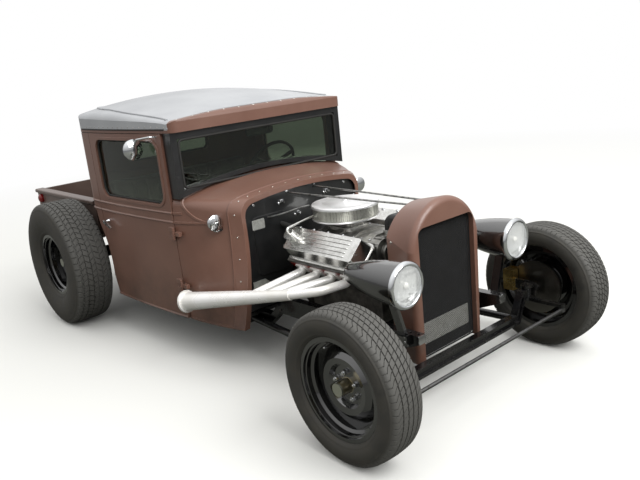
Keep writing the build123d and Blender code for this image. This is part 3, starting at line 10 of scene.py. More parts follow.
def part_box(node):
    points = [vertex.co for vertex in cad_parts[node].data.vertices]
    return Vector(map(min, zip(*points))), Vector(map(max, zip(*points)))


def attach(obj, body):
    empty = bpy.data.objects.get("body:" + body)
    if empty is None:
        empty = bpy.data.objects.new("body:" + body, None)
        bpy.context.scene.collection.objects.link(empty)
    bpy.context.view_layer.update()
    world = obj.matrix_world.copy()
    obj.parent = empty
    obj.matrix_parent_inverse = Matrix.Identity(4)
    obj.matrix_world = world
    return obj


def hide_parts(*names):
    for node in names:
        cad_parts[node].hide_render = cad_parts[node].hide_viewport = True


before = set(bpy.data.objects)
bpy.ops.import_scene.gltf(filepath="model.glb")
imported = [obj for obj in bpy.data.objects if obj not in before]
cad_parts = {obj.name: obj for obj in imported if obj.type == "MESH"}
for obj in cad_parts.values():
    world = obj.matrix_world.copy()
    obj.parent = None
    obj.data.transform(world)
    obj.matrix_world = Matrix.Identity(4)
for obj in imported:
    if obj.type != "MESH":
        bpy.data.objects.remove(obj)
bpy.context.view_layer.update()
scene = bpy.context.scene

# Everything below is in metres, +X forward, +Y to the driver's left, +Z up
frontHub = Vector((sum(corner[0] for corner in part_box("tyre_front_left")) / 2, 0, 0.325))
rearHub = Vector((sum(corner[0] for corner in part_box("tyre_rear_left")) / 2, 0, 0.419))
sides = {"left": 1, "right": -1}

# Scale of a wave texture whose bands are one millimetre apart; a wave node turns once in 2 pi / 20 of a metre
waveScale = 2 * math.pi / 20 * 1000


# Node helpers. A socket knows its tree, so each step finds the tree from a socket that it is given

def linearColour(hexText):
    parts = [int(hexText[i:i + 2], 16) / 255 for i in (1, 3, 5)]
    return [p / 12.92 if p <= 0.04045 else ((p + 0.055) / 1.055) ** 2.4 for p in parts] + [1.0]


def addNode(tree, kind, settings):
    # A setting that is another node's socket is linked, and a hex text on a socket is a colour
    node = tree.nodes.new("ShaderNode" + kind)
    for name, value in settings.items():
        if isinstance(name, str) and name not in node.inputs:
            setattr(node, name, value)
        elif isinstance(value, bpy.types.NodeSocket):
            tree.links.new(value, node.inputs[name])
        else:
            node.inputs[name].default_value = linearColour(value) if isinstance(value, str) else value
    return node


def startMaterial(name, settings):
    # A new material with one Principled shader, and the place in metres that its textures start from
    material = bpy.data.materials.new(name)
    material.use_nodes = True
    tree = material.node_tree
    tree.nodes.clear()
    shader = addNode(tree, "BsdfPrincipled", settings)
    addNode(tree, "OutputMaterial", {"Surface": shader.outputs[0]})
    return material, shader, addNode(tree, "TexCoord", {}).outputs["Object"]


def mixedColour(factor, first, second):
    # Colour that goes from first to second with factor; each is a hex text or a socket
    settings = {"data_type": "RGBA", "Factor": factor, 6: first, 7: second}
    return addNode(factor.id_data, "Mix", settings).outputs[2]


def mixedValue(factor, first, second):
    # Number that goes from first to second with factor; each is a number or a socket
    return addNode(factor.id_data, "Mix", {"Factor": factor, 2: first, 3: second}).outputs[0]


def product(first, second):
    return addNode(first.id_data, "Math", {"operation": "MULTIPLY", 0: first, 1: second}).outputs[0]


def cloudy(place, sizeMm, detail=4.0, roughness=0.5):
    # Noise whose clouds are about sizeMm across
    settings = {"Scale": 1000 / sizeMm, "Detail": detail, "Roughness": roughness, "Vector": place}
    return addNode(place.id_data, "TexNoise", settings).outputs["Fac"]


def ranged(value, low, high, toLow=0.0, toHigh=1.0):
    settings = {"From Min": low, "From Max": high, "To Min": toLow, "To Max": toHigh, "Value": value}
    return addNode(value.id_data, "MapRange", settings).outputs[0]


def distanceFrom(place, centre, keep=(1.0, 1.0, 1.0)):
    # Distance from a point, or from an axis through it where keep is 0 along that axis
    tree = place.id_data
    offset = addNode(tree, "VectorMath", {"operation": "SUBTRACT", 0: place, 1: tuple(centre)}).outputs[0]
    flat = addNode(tree, "VectorMath", {"operation": "MULTIPLY", 0: offset, 1: keep}).outputs[0]
    return addNode(tree, "VectorMath", {"operation": "LENGTH", 0: flat}).outputs["Value"]


def axisPlace(place, letter):
    return addNode(place.id_data, "SeparateXYZ", {0: place}).outputs[letter]


def above(value, edge, soft=0.001):
    # 1 above an edge and 0 below it
    return ranged(value, edge - soft, edge + soft)


def below(value, edge, soft=0.001):
    return ranged(value, edge - soft, edge + soft, 1.0, 0.0)


def painted(shader, colour=None, roughness=None, metallic=None, normal=None):
    # Links what is given to the shader
    sockets = {"Base Color": colour, "Roughness": roughness, "Metallic": metallic, "Normal": normal}
    for name, socket in sockets.items():
        if socket is not None:
            shader.id_data.links.new(socket, shader.inputs[name])


def raised(shader, height, depthMm, strength=1.0, under=None):
    # Bump of a real depth in millimetres, over another normal where one is given
    settings = {"Strength": strength, "Distance": depthMm / 1000, "Height": height}
    if under is not None:
        settings["Normal"] = under
    painted(shader, normal=addNode(shader.id_data, "Bump", settings).outputs[0])


def edgeWear(place, widthMm, breakMm=30):
    # 1 along hard edges, broken up by noise, and the softened normal that rounds them
    tree = place.id_data
    soft = addNode(tree, "Bevel", {"samples": 4, "Radius": widthMm / 1000}).outputs[0]
    flat = addNode(tree, "NewGeometry", {}).outputs["Normal"]
    turned = addNode(tree, "VectorMath", {"operation": "DOT_PRODUCT", 0: soft, 1: flat}).outputs["Value"]
    rubbed = ranged(cloudy(place, breakMm, 5.0, 0.7), 0.42, 0.62)
    return product(ranged(turned, 0.97, 0.85), rubbed), soft


def patchy(name, settings, patch, shadeRange=None, shades=None, roughRange=None):
    # A material whose colour and roughness follow one noise, given as its size in mm, detail and roughness
    material, shader, place = startMaterial(name, settings)
    clouds = cloudy(place, *patch)
    if shades:
        painted(shader, mixedColour(ranged(clouds, *shadeRange), *shades))
    if roughRange:
        painted(shader, roughness=ranged(clouds, *roughRange))
    return material, shader, place


# Materials, each named for the real one and how its surface was made

def sprayedPrimer(name, base="#6C4A3D", dusty="#785648", worn="#A88D7F", lowShade="#3C2A1F", patchMm=320, peelMm=5):
    # Matt brown primer, sprayed and rubbed down: soft wide highlights, faint cloudy patches, pale rubbed
    # edges, painted shade that darkens it towards the bottom in cloudy patches, and a fine orange peel
    material, shader, place = startMaterial(name, {
        "IOR": 1.5, "Coat Weight": 0.4, "Coat Roughness": 0.22, "Sheen Weight": 0.15, "Sheen Roughness": 0.35,
        "Sheen Tint": "#F0DDD2",
    })
    patches = cloudy(place, patchMm, 5.0, 0.6)
    colour = mixedColour(ranged(patches, 0.3, 0.7), base, dusty)
    # Painted shade: towards the bottom the colour goes over to a dark brown, in cloudy patches
    low = product(ranged(axisPlace(place, "Z"), 0.62, 0.24), ranged(cloudy(place, 120, 5.0, 0.7), 0.2, 0.8))
    colour = mixedColour(low, colour, lowShade)
    wear, soft = edgeWear(place, 2.5)
    colour = mixedColour(product(wear, ranged(patches, 0.3, 0.6, 0.3, 0.8)), colour, worn)
    painted(shader, colour, ranged(patches, 0.3, 0.7, 0.38, 0.52))
    raised(shader, cloudy(place, peelMm, 2.0), 0.04, 1.0, soft)
    return material


def blackEnamel(name, base="#08080A", roughness=0.14, dust="#2E2A25", dustAmount=0.2, patchMm=90):
    # Gloss black chassis enamel, brushed or dipped: sharp reflections with a thin film of road dust
    material, shader, place = startMaterial(name, {"IOR": 1.5, "Coat Weight": 0.4, "Coat Roughness": 0.08})
    dirt = cloudy(place, patchMm, 6.0, 0.65)
    wear, soft = edgeWear(place, 1.5)
    colour = mixedColour(ranged(dirt, 0.45, 0.8, 0.0, dustAmount), base, dust)
    colour = mixedColour(product(wear, dirt), colour, "#55504A")
    painted(shader, colour, ranged(dirt, 0.3, 0.8, roughness, roughness + 0.25))
    raised(shader, dirt, 0.06, 1.0, soft)
    return material


def wheelEnamel(name, hub, capEdge, capRadius, rotorEdge, rotorRadius=0.143, capLength=0.0545):
    # Gloss black rim, dipped and baked in thick coats that mirror the sky; the grease cap is drawn brass with a
    # plated end, the rotor turned iron
    material, shader, place = startMaterial(name, {
        "IOR": 1.6, "Coat Weight": 1.0, "Coat IOR": 1.8, "Coat Roughness": 0.04,
    })
    dirt = cloudy(place, 70, 6.0, 0.65)
    out = addNode(place.id_data, "Math", {"operation": "ABSOLUTE", 0: axisPlace(place, "Y")}).outputs[0]
    fromHub = distanceFrom(place, hub, (1.0, 0.0, 1.0))
    withinCap = below(fromHub, capRadius)
    cap = product(above(out, capEdge + 0.003), withinCap)
    rotor = product(below(out, rotorEdge), below(fromHub, rotorRadius))
    metal = addNode(place.id_data, "Math", {"operation": "MAXIMUM", 0: cap, 1: rotor}).outputs[0]
    colour = mixedColour(ranged(dirt, 0.45, 0.85, 0.0, 0.22), "#070708", "#35302A")
    colour = mixedColour(cap, colour, "#A59B7C")
    colour = mixedColour(product(above(out, capEdge + capLength), withinCap), colour, "#B4B5A4")
    colour = mixedColour(rotor, colour, "#77736C")
    painted(shader, colour, mixedValue(metal, ranged(dirt, 0.3, 0.8, 0.08, 0.2), 0.3), metal)
    raised(shader, dirt, 0.05)
    return material


def mouldedRubber(name, hub=None, treadRadius=0.3, base="#2C2B28", dust="#403D36", treadColour="#484744"):
    # Tyre rubber, moulded under pressure: dull, with grey-brown road dust on the wall, a cleaner tread and dark cuts
    material, shader, place = startMaterial(name, {"IOR": 1.52})
    dirt = cloudy(place, 60, 6.0, 0.6)
    colour = mixedColour(ranged(dirt, 0.25, 0.75), base, dust)
    if hub is not None:
        tread = above(distanceFrom(place, hub, (1.0, 0.0, 1.0)), treadRadius, 0.008)
        colour = mixedColour(tread, colour, mixedColour(dirt, treadColour, "#54534F"))
    painted(shader, colour, ranged(dirt, 0.3, 0.7, 0.6, 0.85))
    raised(shader, cloudy(place, 3, 3.0), 0.12)
    return material


def platedChrome(name, base="#D8DADC", roughness=0.05, smudgeMm=40):
    # Chrome plate over polished steel: mirror bright, with faint finger smudges that soften it in places
    settings = {"Base Color": base, "Metallic": 1.0}
    return patchy(name, settings, (smudgeMm,), roughRange=(0.4, 0.75, roughness, roughness + 0.14))[0]


def turnedSteel(name, base, grime="#3F3C37", roughness=0.35):
    # Plain steel, turned or forged, with oily grime in its low spots
    material, shader, place = patchy(
        name, {"Metallic": 1.0}, (25, 5.0, 0.7), (0.45, 0.75), (base, grime), (0.3, 0.7, roughness, roughness + 0.25),
    )
    raised(shader, cloudy(place, 3, 2.0), 0.05)
    return material


def castAluminium(name, base, stain, roughness, grainDepthMm):
    # Cast aluminium, sand cast and then polished or left raw: grey patches, soft glints, a pitted grain
    material, shader, place = patchy(
        name, {"Metallic": 1.0}, (55, 6.0, 0.7), (0.4, 0.8), (base, stain), (0.3, 0.75, roughness, roughness + 0.22),
    )
    raised(shader, cloudy(place, 4, 3.0, 0.7), grainDepthMm, 1.0, edgeWear(place, 2.0)[1])
    return material


def filterCleaner(name, sideLow=0.784, sideHigh=0.8375, holeMm=7):
    # Air cleaner: spun and chromed lid and base, and between them perforated sheet over the element, with its holes
    # painted dark: the element behind them, in painted shade. The real holes are 3 mm; they are 7 mm here so that they
    # show
    material, shader, place = startMaterial(name, {"Metallic": 1.0})
    height = axisPlace(place, "Z")
    side = product(above(height, sideLow), below(height, sideHigh))
    holes = addNode(place.id_data, "TexVoronoi", {"Scale": 1000 / holeMm, "Randomness": 0.15, "Vector": place})
    # Painted shade: the holes are coloured dark, for the element seen in the shade inside the cleaner
    hole = product(side, below(holes.outputs["Distance"], 0.32, 0.06))
    colour = mixedColour(hole, mixedColour(side, "#F6F6F6", "#B4B4AC"), "#3C3B38")
    painted(shader, colour, mixedValue(side, ranged(cloudy(place, 60), 0.4, 0.75, 0.42, 0.5), 0.42))
    raised(shader, hole, -0.6)
    return material


def ceramicCoating(name, base="#F7F6F4", heat="#E2DFD6", roughness=0.28):
    # Ceramic-metallic exhaust coating, sprayed and baked: pale satin silver that yellows a little with heat
    settings, rough = {"Metallic": 0.3, "IOR": 1.5}, (0.3, 0.7, roughness - 0.05, roughness + 0.08)
    return patchy(name, settings, (140,), (0.35, 0.8), (base, heat), rough)[0]


def engineEnamel(name, base="#A01C1A", iron="#5B5851", grime="#24211E", portTop=0.576, portHeight=0.1, portSide=0.215):
    # Engine: red enamel brushed over the heads round the exhaust ports, bare oily iron on the block and above
    material, shader, place = startMaterial(name, {"IOR": 1.5, "Coat Weight": 0.25, "Coat Roughness": 0.15})
    oil = cloudy(place, 60, 6.0, 0.7)
    height = axisPlace(place, "Z")
    out = addNode(place.id_data, "Math", {"operation": "ABSOLUTE", 0: axisPlace(place, "Y")}).outputs[0]
    headSides = product(above(out, portSide, 0.006), below(height, portTop, 0.004))
    enamelled = product(headSides, above(height, portTop - portHeight, 0.02))
    colour = mixedColour(ranged(oil, 0.35, 0.65), iron, grime)
    enamel = mixedColour(ranged(oil, 0.55, 0.75), base, grime)
    painted(shader, mixedColour(enamelled, colour, enamel), mixedValue(enamelled, 0.55, 0.25))
    raised(shader, cloudy(place, 5, 3.0), 0.2)
    return material


def grainedVinyl(name, base="#9C9EA1", worn="#ADAFB1", grainMm=6):
    # Leathercloth roof vinyl, embossed by rollers. The real grain is 1.5 mm; here it is 6 mm so that it shows
    settings = {"IOR": 1.5, "Roughness": 0.42, "Sheen Weight": 0.1}
    material, shader, place = patchy(name, settings, (300, 5.0), (0.3, 0.7), (base, worn))
    cells = addNode(place.id_data, "TexVoronoi", {"Scale": 1000 / grainMm, "Vector": place})
    raised(shader, cells.outputs["Distance"], 0.25, 0.6)
    return material


def drawnWire(name, base="#0B0B0B"):
    # Grille gauze of drawn steel wire in black paint: dull, so that the grille stays dark. The same black is on the
    # sheet of painted shade behind the gauze
    shades, rough = (base, "#22211F"), (0.3, 0.7, 0.55, 0.7)
    return patchy(name, {"IOR": 1.4}, (90,), (0.4, 0.8, 0.0, 0.5), shades, rough)[0]


def windowGlass(name, tint="#A9B5A4", roughness=0.0):
    # Flat tinted safety glass, floated and cut: slightly green and dark, with a sharp reflection
    settings = {"Base Color": tint, "IOR": 1.5, "Transmission Weight": 1.0}
    return patchy(name, settings, (120, 3.0), roughRange=(0.5, 0.8, roughness, roughness + 0.05))[0]


def pressedGlass(name, fluteMm=9):
    # Headlamp glass, pressed in a mould with upright flutes that scatter the light, so that it looks milky; its pale
    # base colour is partly that milkiness and partly a painted reflection of the silvered reflector behind it
    # The pale base colour is partly painted reflection of the reflector behind the glass
    settings = {"Base Color": "#F6F8F6", "IOR": 1.5, "Roughness": 0.06, "Alpha": 0.3}
    material, shader, place = startMaterial(name, settings)
    flutes = addNode(place.id_data, "TexWave", {
        "bands_direction": "Y", "Scale": waveScale / fluteMm, "Distortion": 0.0, "Vector": place,
    })
    raised(shader, flutes.outputs["Fac"], 0.5)
    return material


def lampBucket(name, centre, reflectorRadius, curvature=-9.0):
    # Headlamp bucket, spun steel in thick gloss black enamel; its front face behind the glass is a silvered reflector
    material, shader, place = startMaterial(name, {
        "IOR": 1.7, "Coat Weight": 1.0, "Coat IOR": 1.8, "Coat Roughness": 0.05,
    })
    dirt = cloudy(place, 90, 5.0, 0.6)
    tree = place.id_data
    mirrored = addNode(tree, "VectorMath", {"operation": "ABSOLUTE", 0: place}).outputs[0]
    face = above(axisPlace(place, "X"), centre[0] - 0.0015, 0.0005)
    reflector = product(face, below(distanceFrom(mirrored, centre, (0.0, 1.0, 1.0)), reflectorRadius))
    colour = mixedColour(ranged(dirt, 0.45, 0.85, 0.0, 0.15), "#070708", "#302B26")
    painted(
        shader, mixedColour(reflector, colour, "#FBFCFB"),
        mixedValue(reflector, ranged(dirt, 0.3, 0.8, 0.1, 0.3), 0.16),
        product(reflector, ranged(dirt, 0.0, 1.0, 0.55, 0.65)),
    )
    # The dish curves in, so its normals lean towards the lamp's axis
    offset = addNode(tree, "VectorMath", {"operation": "SUBTRACT", 0: mirrored, 1: centre}).outputs[0]
    curved = (0.0, curvature, curvature)
    lean = addNode(tree, "VectorMath", {"operation": "MULTIPLY", 0: offset, 1: curved}).outputs[0]
    sideOf = addNode(tree, "Math", {"operation": "SIGN", 0: axisPlace(place, "Y")}).outputs[0]
    turn = addNode(tree, "CombineXYZ", {"X": 1.0, "Y": sideOf, "Z": 1.0}).outputs[0]
    leaning = addNode(tree, "VectorMath", {"operation": "MULTIPLY", 0: lean, 1: turn}).outputs[0]
    dish = addNode(tree, "VectorMath", {"operation": "ADD", 0: leaning, 1: (1.0, 0.0, 0.0)}).outputs[0]
    dish = addNode(tree, "VectorMath", {"operation": "NORMALIZE", 0: dish}).outputs[0]
    flat = addNode(tree, "NewGeometry", {}).outputs["Normal"]
    chosen = addNode(tree, "Mix", {"data_type": "VECTOR", "Factor": reflector, 4: flat, 5: dish})
    painted(shader, normal=chosen.outputs[1])
    return material


def bulbGlass(name):
    # Frosted bulb glass, blown and etched: a soft milky white
    return patchy(name, {"IOR": 1.5, "Roughness": 0.25}, (12,), (0.0, 1.0), ("#F1F1EC", "#DEDDD4"))[0]


def lampLens(name, base="#7D0A0C", cutMm=7):
    # Red acrylic lens, injection moulded: glossy and deep, with a cut pattern inside
    material, shader, place = startMaterial(name, {
        "Base Color": base, "IOR": 1.49, "Roughness": 0.12, "Transmission Weight": 0.15, "Coat Weight": 0.5,
    })
    cuts = addNode(place.id_data, "TexVoronoi", {"Scale": 1000 / cutMm, "Vector": place})
    raised(shader, cuts.outputs["Distance"], 0.3)
    return material


def seatLeather(name, base="#241C1A", worn="#3A2E2A", grainMm=5):
    # Upholstery leather, tanned and grained: dark, soft sheen on the crowns, lighter where it is rubbed
    settings, rough = {"IOR": 1.45, "Sheen Weight": 0.1}, (0.3, 0.7, 0.55, 0.42)
    material, shader, place = patchy(name, settings, (150,), (0.3, 0.7), (base, worn), rough)
    pores = addNode(place.id_data, "TexVoronoi", {"Scale": 1000 / grainMm, "Vector": place})
    raised(shader, pores.outputs["Distance"], 0.2)
    return material


def blackPlastic(name, base="#121212"):
    # Hard black plastic, injection moulded: satin with a faint handling shine
    shades, rough = (base, "#1C1C1B"), (0.3, 0.7, 0.25, 0.45)
    return patchy(name, {"IOR": 1.5}, (50, 3.0), (0.0, 1.0), shades, rough)[0]


def stampedTin(name, base="#B9BAB4", stain="#7C7B74", metallic=0.7, roughness=0.4):
    # Pressed sheet, plated or painted pale: flat, with faint stains and small dents
    settings, rough = {"Metallic": metallic, "IOR": 1.5}, (0.3, 0.8, roughness, roughness + 0.25)
    material, shader, place = patchy(name, settings, (35, 5.0, 0.7), (0.45, 0.8), (base, stain), rough)
    raised(shader, cloudy(place, 18, 3.0), 0.15)
    return material


def knuckleSteel(name, caliperX, caliperZ=0.29):
    # Knuckle: forged steel in black enamel; the caliper behind it is cast and plated in yellow zinc, whose colour
    # is painted lighter than the zinc is, as painted light where the caliper sits in shade
    material, shader, place = startMaterial(name, {"IOR": 1.5})
    dirt = cloudy(place, 40, 6.0, 0.7)
    caliper = product(below(axisPlace(place, "X"), caliperX, 0.002), above(axisPlace(place, "Z"), caliperZ))
    colour = mixedColour(ranged(dirt, 0.45, 0.8, 0.0, 0.35), "#0D0D0D", "#3F3A32")
    # Painted light: the yellow zinc is lighter than its own colour, to make up for the shade the caliper sits in
    zincWithPaintedLight = mixedColour(ranged(dirt, 0.4, 0.7), "#DDBF7A", "#8A7040")
    painted(shader, mixedColour(caliper, colour, zincWithPaintedLight), ranged(dirt, 0.3, 0.8, 0.2, 0.45), caliper)
    raised(shader, dirt, 0.1)
    return material


def radiatorPaint(name, capPlace, capFoot=0.8675, capRadius=0.045, coreTop=0.786, finMm=9):
    # Radiator: copper core and brass tanks sprayed satin black, and a plated filler cap
    material, shader, place = startMaterial(name, {"IOR": 1.5})
    dirt = cloudy(place, 80, 5.0, 0.6)
    height = axisPlace(place, "Z")
    cap = product(above(height, capFoot), below(distanceFrom(place, capPlace, (1.0, 1.0, 0.0)), capRadius))
    colour = mixedColour(ranged(dirt, 0.4, 0.8, 0.0, 0.3), "#141414", "#3B3730")
    rough = mixedValue(cap, ranged(dirt, 0.3, 0.8, 0.35, 0.55), 0.08)
    painted(shader, mixedColour(cap, colour, "#DADCDD"), rough, cap)
    fins = addNode(place.id_data, "TexWave", {
        "bands_direction": "Z", "Scale": waveScale / finMm, "Distortion": 0.0, "Vector": place,
    })
    raised(shader, product(fins.outputs["Fac"], below(height, coreTop)), 0.8)
    return material


def studioPaper(name, shown="#DCDCD8", bounced="#666760", fadeStart=4.0, fadeEnd=9.0, farLight=0.25):
    # Matt paper for the studio floor: pale to the eye, duller where it only lights the underside or shows in a
    # mirror, and lit evenly white far out, so that no horizon shows
    material, shader, place = startMaterial(name, {"Roughness": 0.9})
    tree = place.id_data
    rays = addNode(tree, "LightPath", {}).outputs
    far = ranged(distanceFrom(place, (0, 0, 0)), fadeStart, fadeEnd)
    light = ranged(rays["Is Camera Ray"], 0, 1, farLight, 1.0)
    glow = addNode(tree, "Emission", {"Color": "#FFFFFF", "Strength": light}).outputs[0]
    faded = addNode(tree, "MixShader", {0: far, 1: shader.outputs[0], 2: glow}).outputs[0]
    # Seen from below the paper is left out, so that the underside of the car shows
    under = product(rays["Is Camera Ray"], addNode(tree, "NewGeometry", {}).outputs["Backfacing"])
    gone = addNode(tree, "BsdfTransparent", {}).outputs[0]
    paper = addNode(tree, "MixShader", {0: under, 1: faded, 2: gone}).outputs[0]
    tree.links.new(paper, tree.nodes["Material Output"].inputs["Surface"])
    eitherRay = {"operation": "MAXIMUM", 0: rays["Is Camera Ray"], 1: rays["Is Transmission Ray"]}
    seen = addNode(tree, "Math", eitherRay).outputs[0]
    painted(shader, mixedColour(seen, bounced, shown))
    return material


materials = {
    "brownPrimer": sprayedPrimer("BrownPrimerSprayed"),
    "bedPrimer": sprayedPrimer("BedPrimerSprayed", base="#54443D", dusty="#62524A", worn="#988779", lowShade="#352A24"),
    "chassisEnamel": blackEnamel("ChassisEnamelBrushed"),
    "satinEnamel": blackEnamel("FirewallEnamelSatin", base="#101112", roughness=0.3, dustAmount=0.15),
    "frontWheelEnamel": wheelEnamel("FrontWheelEnamelDipped", frontHub, 0.723, 0.034, 0.66),
    "rearWheelEnamel": wheelEnamel("RearWheelEnamelDipped", rearHub, 0.752, 0.034, 0.63),
    "frontRubber": mouldedRubber("FrontTyreRubberMoulded", frontHub, 0.304),
    "rearRubber": mouldedRubber("RearTyreRubberMoulded", rearHub, 0.396),
    "blackRubber": mouldedRubber("SealRubberExtruded", base="#171716", dust="#2A2926"),
    "chromePlate": platedChrome("ChromePlated"),
    "nutPlate": platedChrome("NutPlated", base="#C9CACB", roughness=0.16),
    "tackSteel": platedChrome("TackSteelPlated", base="#D2CFC8", roughness=0.22),
    "steelRod": turnedSteel("SteelRodDrawn", base="#A7A7A5", roughness=0.25),
    "dullRod": turnedSteel("TieRodDrawn", base="#626262", roughness=0.34),
    "boltSteel": turnedSteel("BoltSteelForged", base="#66635D", roughness=0.42),
    "polishedCasting": castAluminium("AluminiumCastPolished", "#DDDDDA", "#B9B8B4", 0.1, 0.015),
    "rawCasting": castAluminium("AluminiumCastRaw", "#A6A5A0", "#55524D", 0.36, 0.3),
    "grimyCasting": castAluminium("GearboxCastGrimy", "#5E5B55", "#2C2A27", 0.5, 0.3),
    "filterCleaner": filterCleaner("AirCleanerSpun"),
    "headerCoating": ceramicCoating("CeramicHeaderCoating"),
    "engineRed": engineEnamel("EngineEnamelBrushed"),
    "roofVinyl": grainedVinyl("RoofVinylEmbossed"),
    "gauzeWire": drawnWire("GrilleWireDrawn"),
    "windowGlass": windowGlass("WindowGlassTinted"),
    "lampGlass": pressedGlass("LampGlassPressed"),
    "lampBucket": lampBucket("LampBucketSpun", (frontHub.x + 0.039, 0.395, 0.650), 0.0838),
    "bulbGlass": bulbGlass("BulbGlassFrosted"),
    "redLens": lampLens("TailLensMoulded"),
    "seatLeather": seatLeather("BenchLeatherGrained"),
    "blackPlastic": blackPlastic("BlackPlasticMoulded"),
    "plateTin": stampedTin("DataPlateStamped"),
    "plateWhite": stampedTin("NumberPlatePressed", base="#B4B4AD", stain="#98978F", metallic=0.0, roughness=0.35),
    "gaugeFace": blackPlastic("GaugeFacePrinted", base="#0E0E0E"),
    "knuckleSteel": knuckleSteel("KnuckleForged", frontHub.x - 0.09),
    "radiatorPaint": radiatorPaint("RadiatorSprayed", (frontHub.x - 0.248, 0, 0.88)),
}

# Which nodes of the frame each finish goes on
finishNodes = {
    "brownPrimer": "cowl cab_back roof_rail grille_shell door_left door_right", "bedPrimer": "bed tailgate",
    "chassisEnamel": "frame front_axle rear_axle cab_floor", "satinEnamel": "firewall windshield_frame",
    "knuckleSteel": "knuckle_left knuckle_right", "radiatorPaint": "radiator", "lampBucket": "headlamp_buckets",
    "frontWheelEnamel": "wheel_front_left wheel_front_right", "rearWheelEnamel": "wheel_rear_left wheel_rear_right",
    "frontRubber": "tyre_front_left tyre_front_right", "rearRubber": "tyre_rear_left tyre_rear_right",
    "chromePlate": "headlamp_rims cowl_lamps door_fittings_left door_fittings_right", "filterCleaner": "air_cleaner",
    "dullRod": "tie_rod", "steelRod": "radiator_stays", "polishedCasting": "valve_covers",
    "rawCasting": "intake engine_drive", "grimyCasting": "gearbox", "headerCoating": "header_left header_right",
    "engineRed": "engine", "windowGlass": "cab_glass door_glass_left door_glass_right", "roofVinyl": "roof_top",
    "lampGlass": "headlamp_lenses", "redLens": "tail_lamps", "gauzeWire": "grille_mesh", "seatLeather": "seat",
    "blackPlastic": "steering_column",
}
for finishName, nodeNames in finishNodes.items():
    for nodeName in nodeNames.split():
        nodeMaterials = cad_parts[nodeName].data.materials
        nodeMaterials.clear()
        nodeMaterials.append(materials[finishName])
print("materials made:", len(materials))


# Shapes that several pieces share

# Fasteners as points of (distance out of the surface, radius) in millimetres, and steps round; six make a hexagon
fasteners = {
    "washerBolt": (((-1, 8), (1, 8), (1, 6), (5, 6), (6, 5)), 6),
    "railBolt": (((-1, 9), (1.5, 9), (1.5, 7), (7, 7), (8, 5.5)), 6),
    "bracketBolt": (((0, 7), (6, 7), (8, 5)), 6),
    "manifoldBolt": (((-1, 7), (5, 7), (6, 5)), 6),
    "coverScrew": (((-1, 8), (2, 8), (3, 5), (7, 5), (8, 3.5)), 16),
    "pipeClamp": (((-2, 13), (3, 13), (4, 9), (12, 8), (22, 6)), 18),
    "clampScrew": (((0, 7), (6, 7), (8, 4)), 12),
    "standBolt": (((-8, 9), (8, 9), (10, 6), (16, 6)), 12),
    "valveStem": (((0, 6), (18, 5), (20, 4), (34, 4)), 16),
    "valveCap": (((30, 5), (42, 4.6), (44, 3)), 16),
    "mirrorStem": (((0, 5), (46, 5)), 12),
}
surfaceTrees = {}


def meet(nodeName, rays, lift=0.0):
    # Where rays, each a start and a direction, first meet a CAD node: places moved out by lift, and outward normals
    if nodeName not in surfaceTrees:
        graph = bpy.context.evaluated_depsgraph_get()
        surfaceTrees[nodeName] = BVHTree.FromObject(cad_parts[nodeName], graph)
    met = []
    for start, direction in rays:
        direction = Vector(direction)
        place, normal, _, _ = surfaceTrees[nodeName].ray_cast(Vector(start), direction.normalized())
        if place is not None:
            normal = -normal if normal.dot(direction) > 0 else normal
            met.append((place + normal * lift, normal))
    return met


def fromAxle(x, y, z):
    # A place given in millimetres from the middle of the front axle's line on the ground
    return Vector((frontHub.x + x / 1000, y / 1000, z / 1000))


def upright(x, outline, side=1):
    # An outline of (y, z) in the upright plane at x
    return [fromAxle(x, side * y, z) for y, z in outline]


def sideRays(side, spots):
    # Rays that come in level from one side of the car at each (x, z)
    return [(fromAxle(x, side * 900, z), (0, -side, 0)) for x, z in spots]


def downRays(side, spots):
    # Rays that come down from above at each (x, y), on one side of the car
    return [(fromAxle(x, side * y, 1600), (0, 0, -1)) for x, y in spots]


def finishPiece(name, data, finish, body, sharpAngle=35):
    piece = bpy.data.objects.new(name, data)
    scene.collection.objects.link(piece)
    for finishName in [finish] if isinstance(finish, str) else finish:
        data.materials.append(materials[finishName])
    if isinstance(data, bpy.types.Mesh):
        data.shade_smooth()
        data.set_sharp_from_angle(angle=math.radians(sharpAngle))
    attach(piece, body)
    return piece


def closeWork(work, name):
    bmesh.ops.recalc_face_normals(work, faces=work.faces)
    mesh = bpy.data.meshes.new(name)
    work.to_mesh(mesh)
    work.free()
    return mesh


def closePiece(work, name, finish, body="chassis"):
    return finishPiece(name, closeWork(work, name), finish, body)


def addTurned(work, profile, place, axis, steps=20, material=0):
    # Turns a profile of (distance along the axis, radius) in millimetres round an axis, with flat ends where it
    # doesn't come to a point
    axis = Vector(axis).normalized()
    across = axis.orthogonal().normalized()
    upward = axis.cross(across)
    angles = [2 * math.pi * step / steps for step in range(steps)]
    rings = []
    lastAlong, lastRadius = profile[-1]
    for along, radius in ((profile[0][0], 0), *profile, *([(lastAlong, 0)] if lastRadius else [])):
        middle = Vector(place) + axis * (along / 1000)
        rings.append([
            work.verts.new(middle + (across * math.cos(angle) + upward * math.sin(angle)) * (radius / 1000))
            for angle in (angles if radius else angles[:1])
        ])
    for inner, outer in zip(rings, rings[1:]):
        for step in range(steps):
            following = (step + 1) % steps
            corners = [inner[step % len(inner)], inner[following % len(inner)]]
            corners += [outer[following % len(outer)], outer[step % len(outer)]]
            unique = list(dict.fromkeys(corners))
            if len(unique) > 2:
                work.faces.new(unique).material_index = material


def addFasteners(work, kind, spots, material=0):
    # One fastener at each spot, a place and the direction out of the surface
    profile, steps = fasteners[kind]
    for place, outward in spots:
        addTurned(work, profile, place, outward, steps, material)


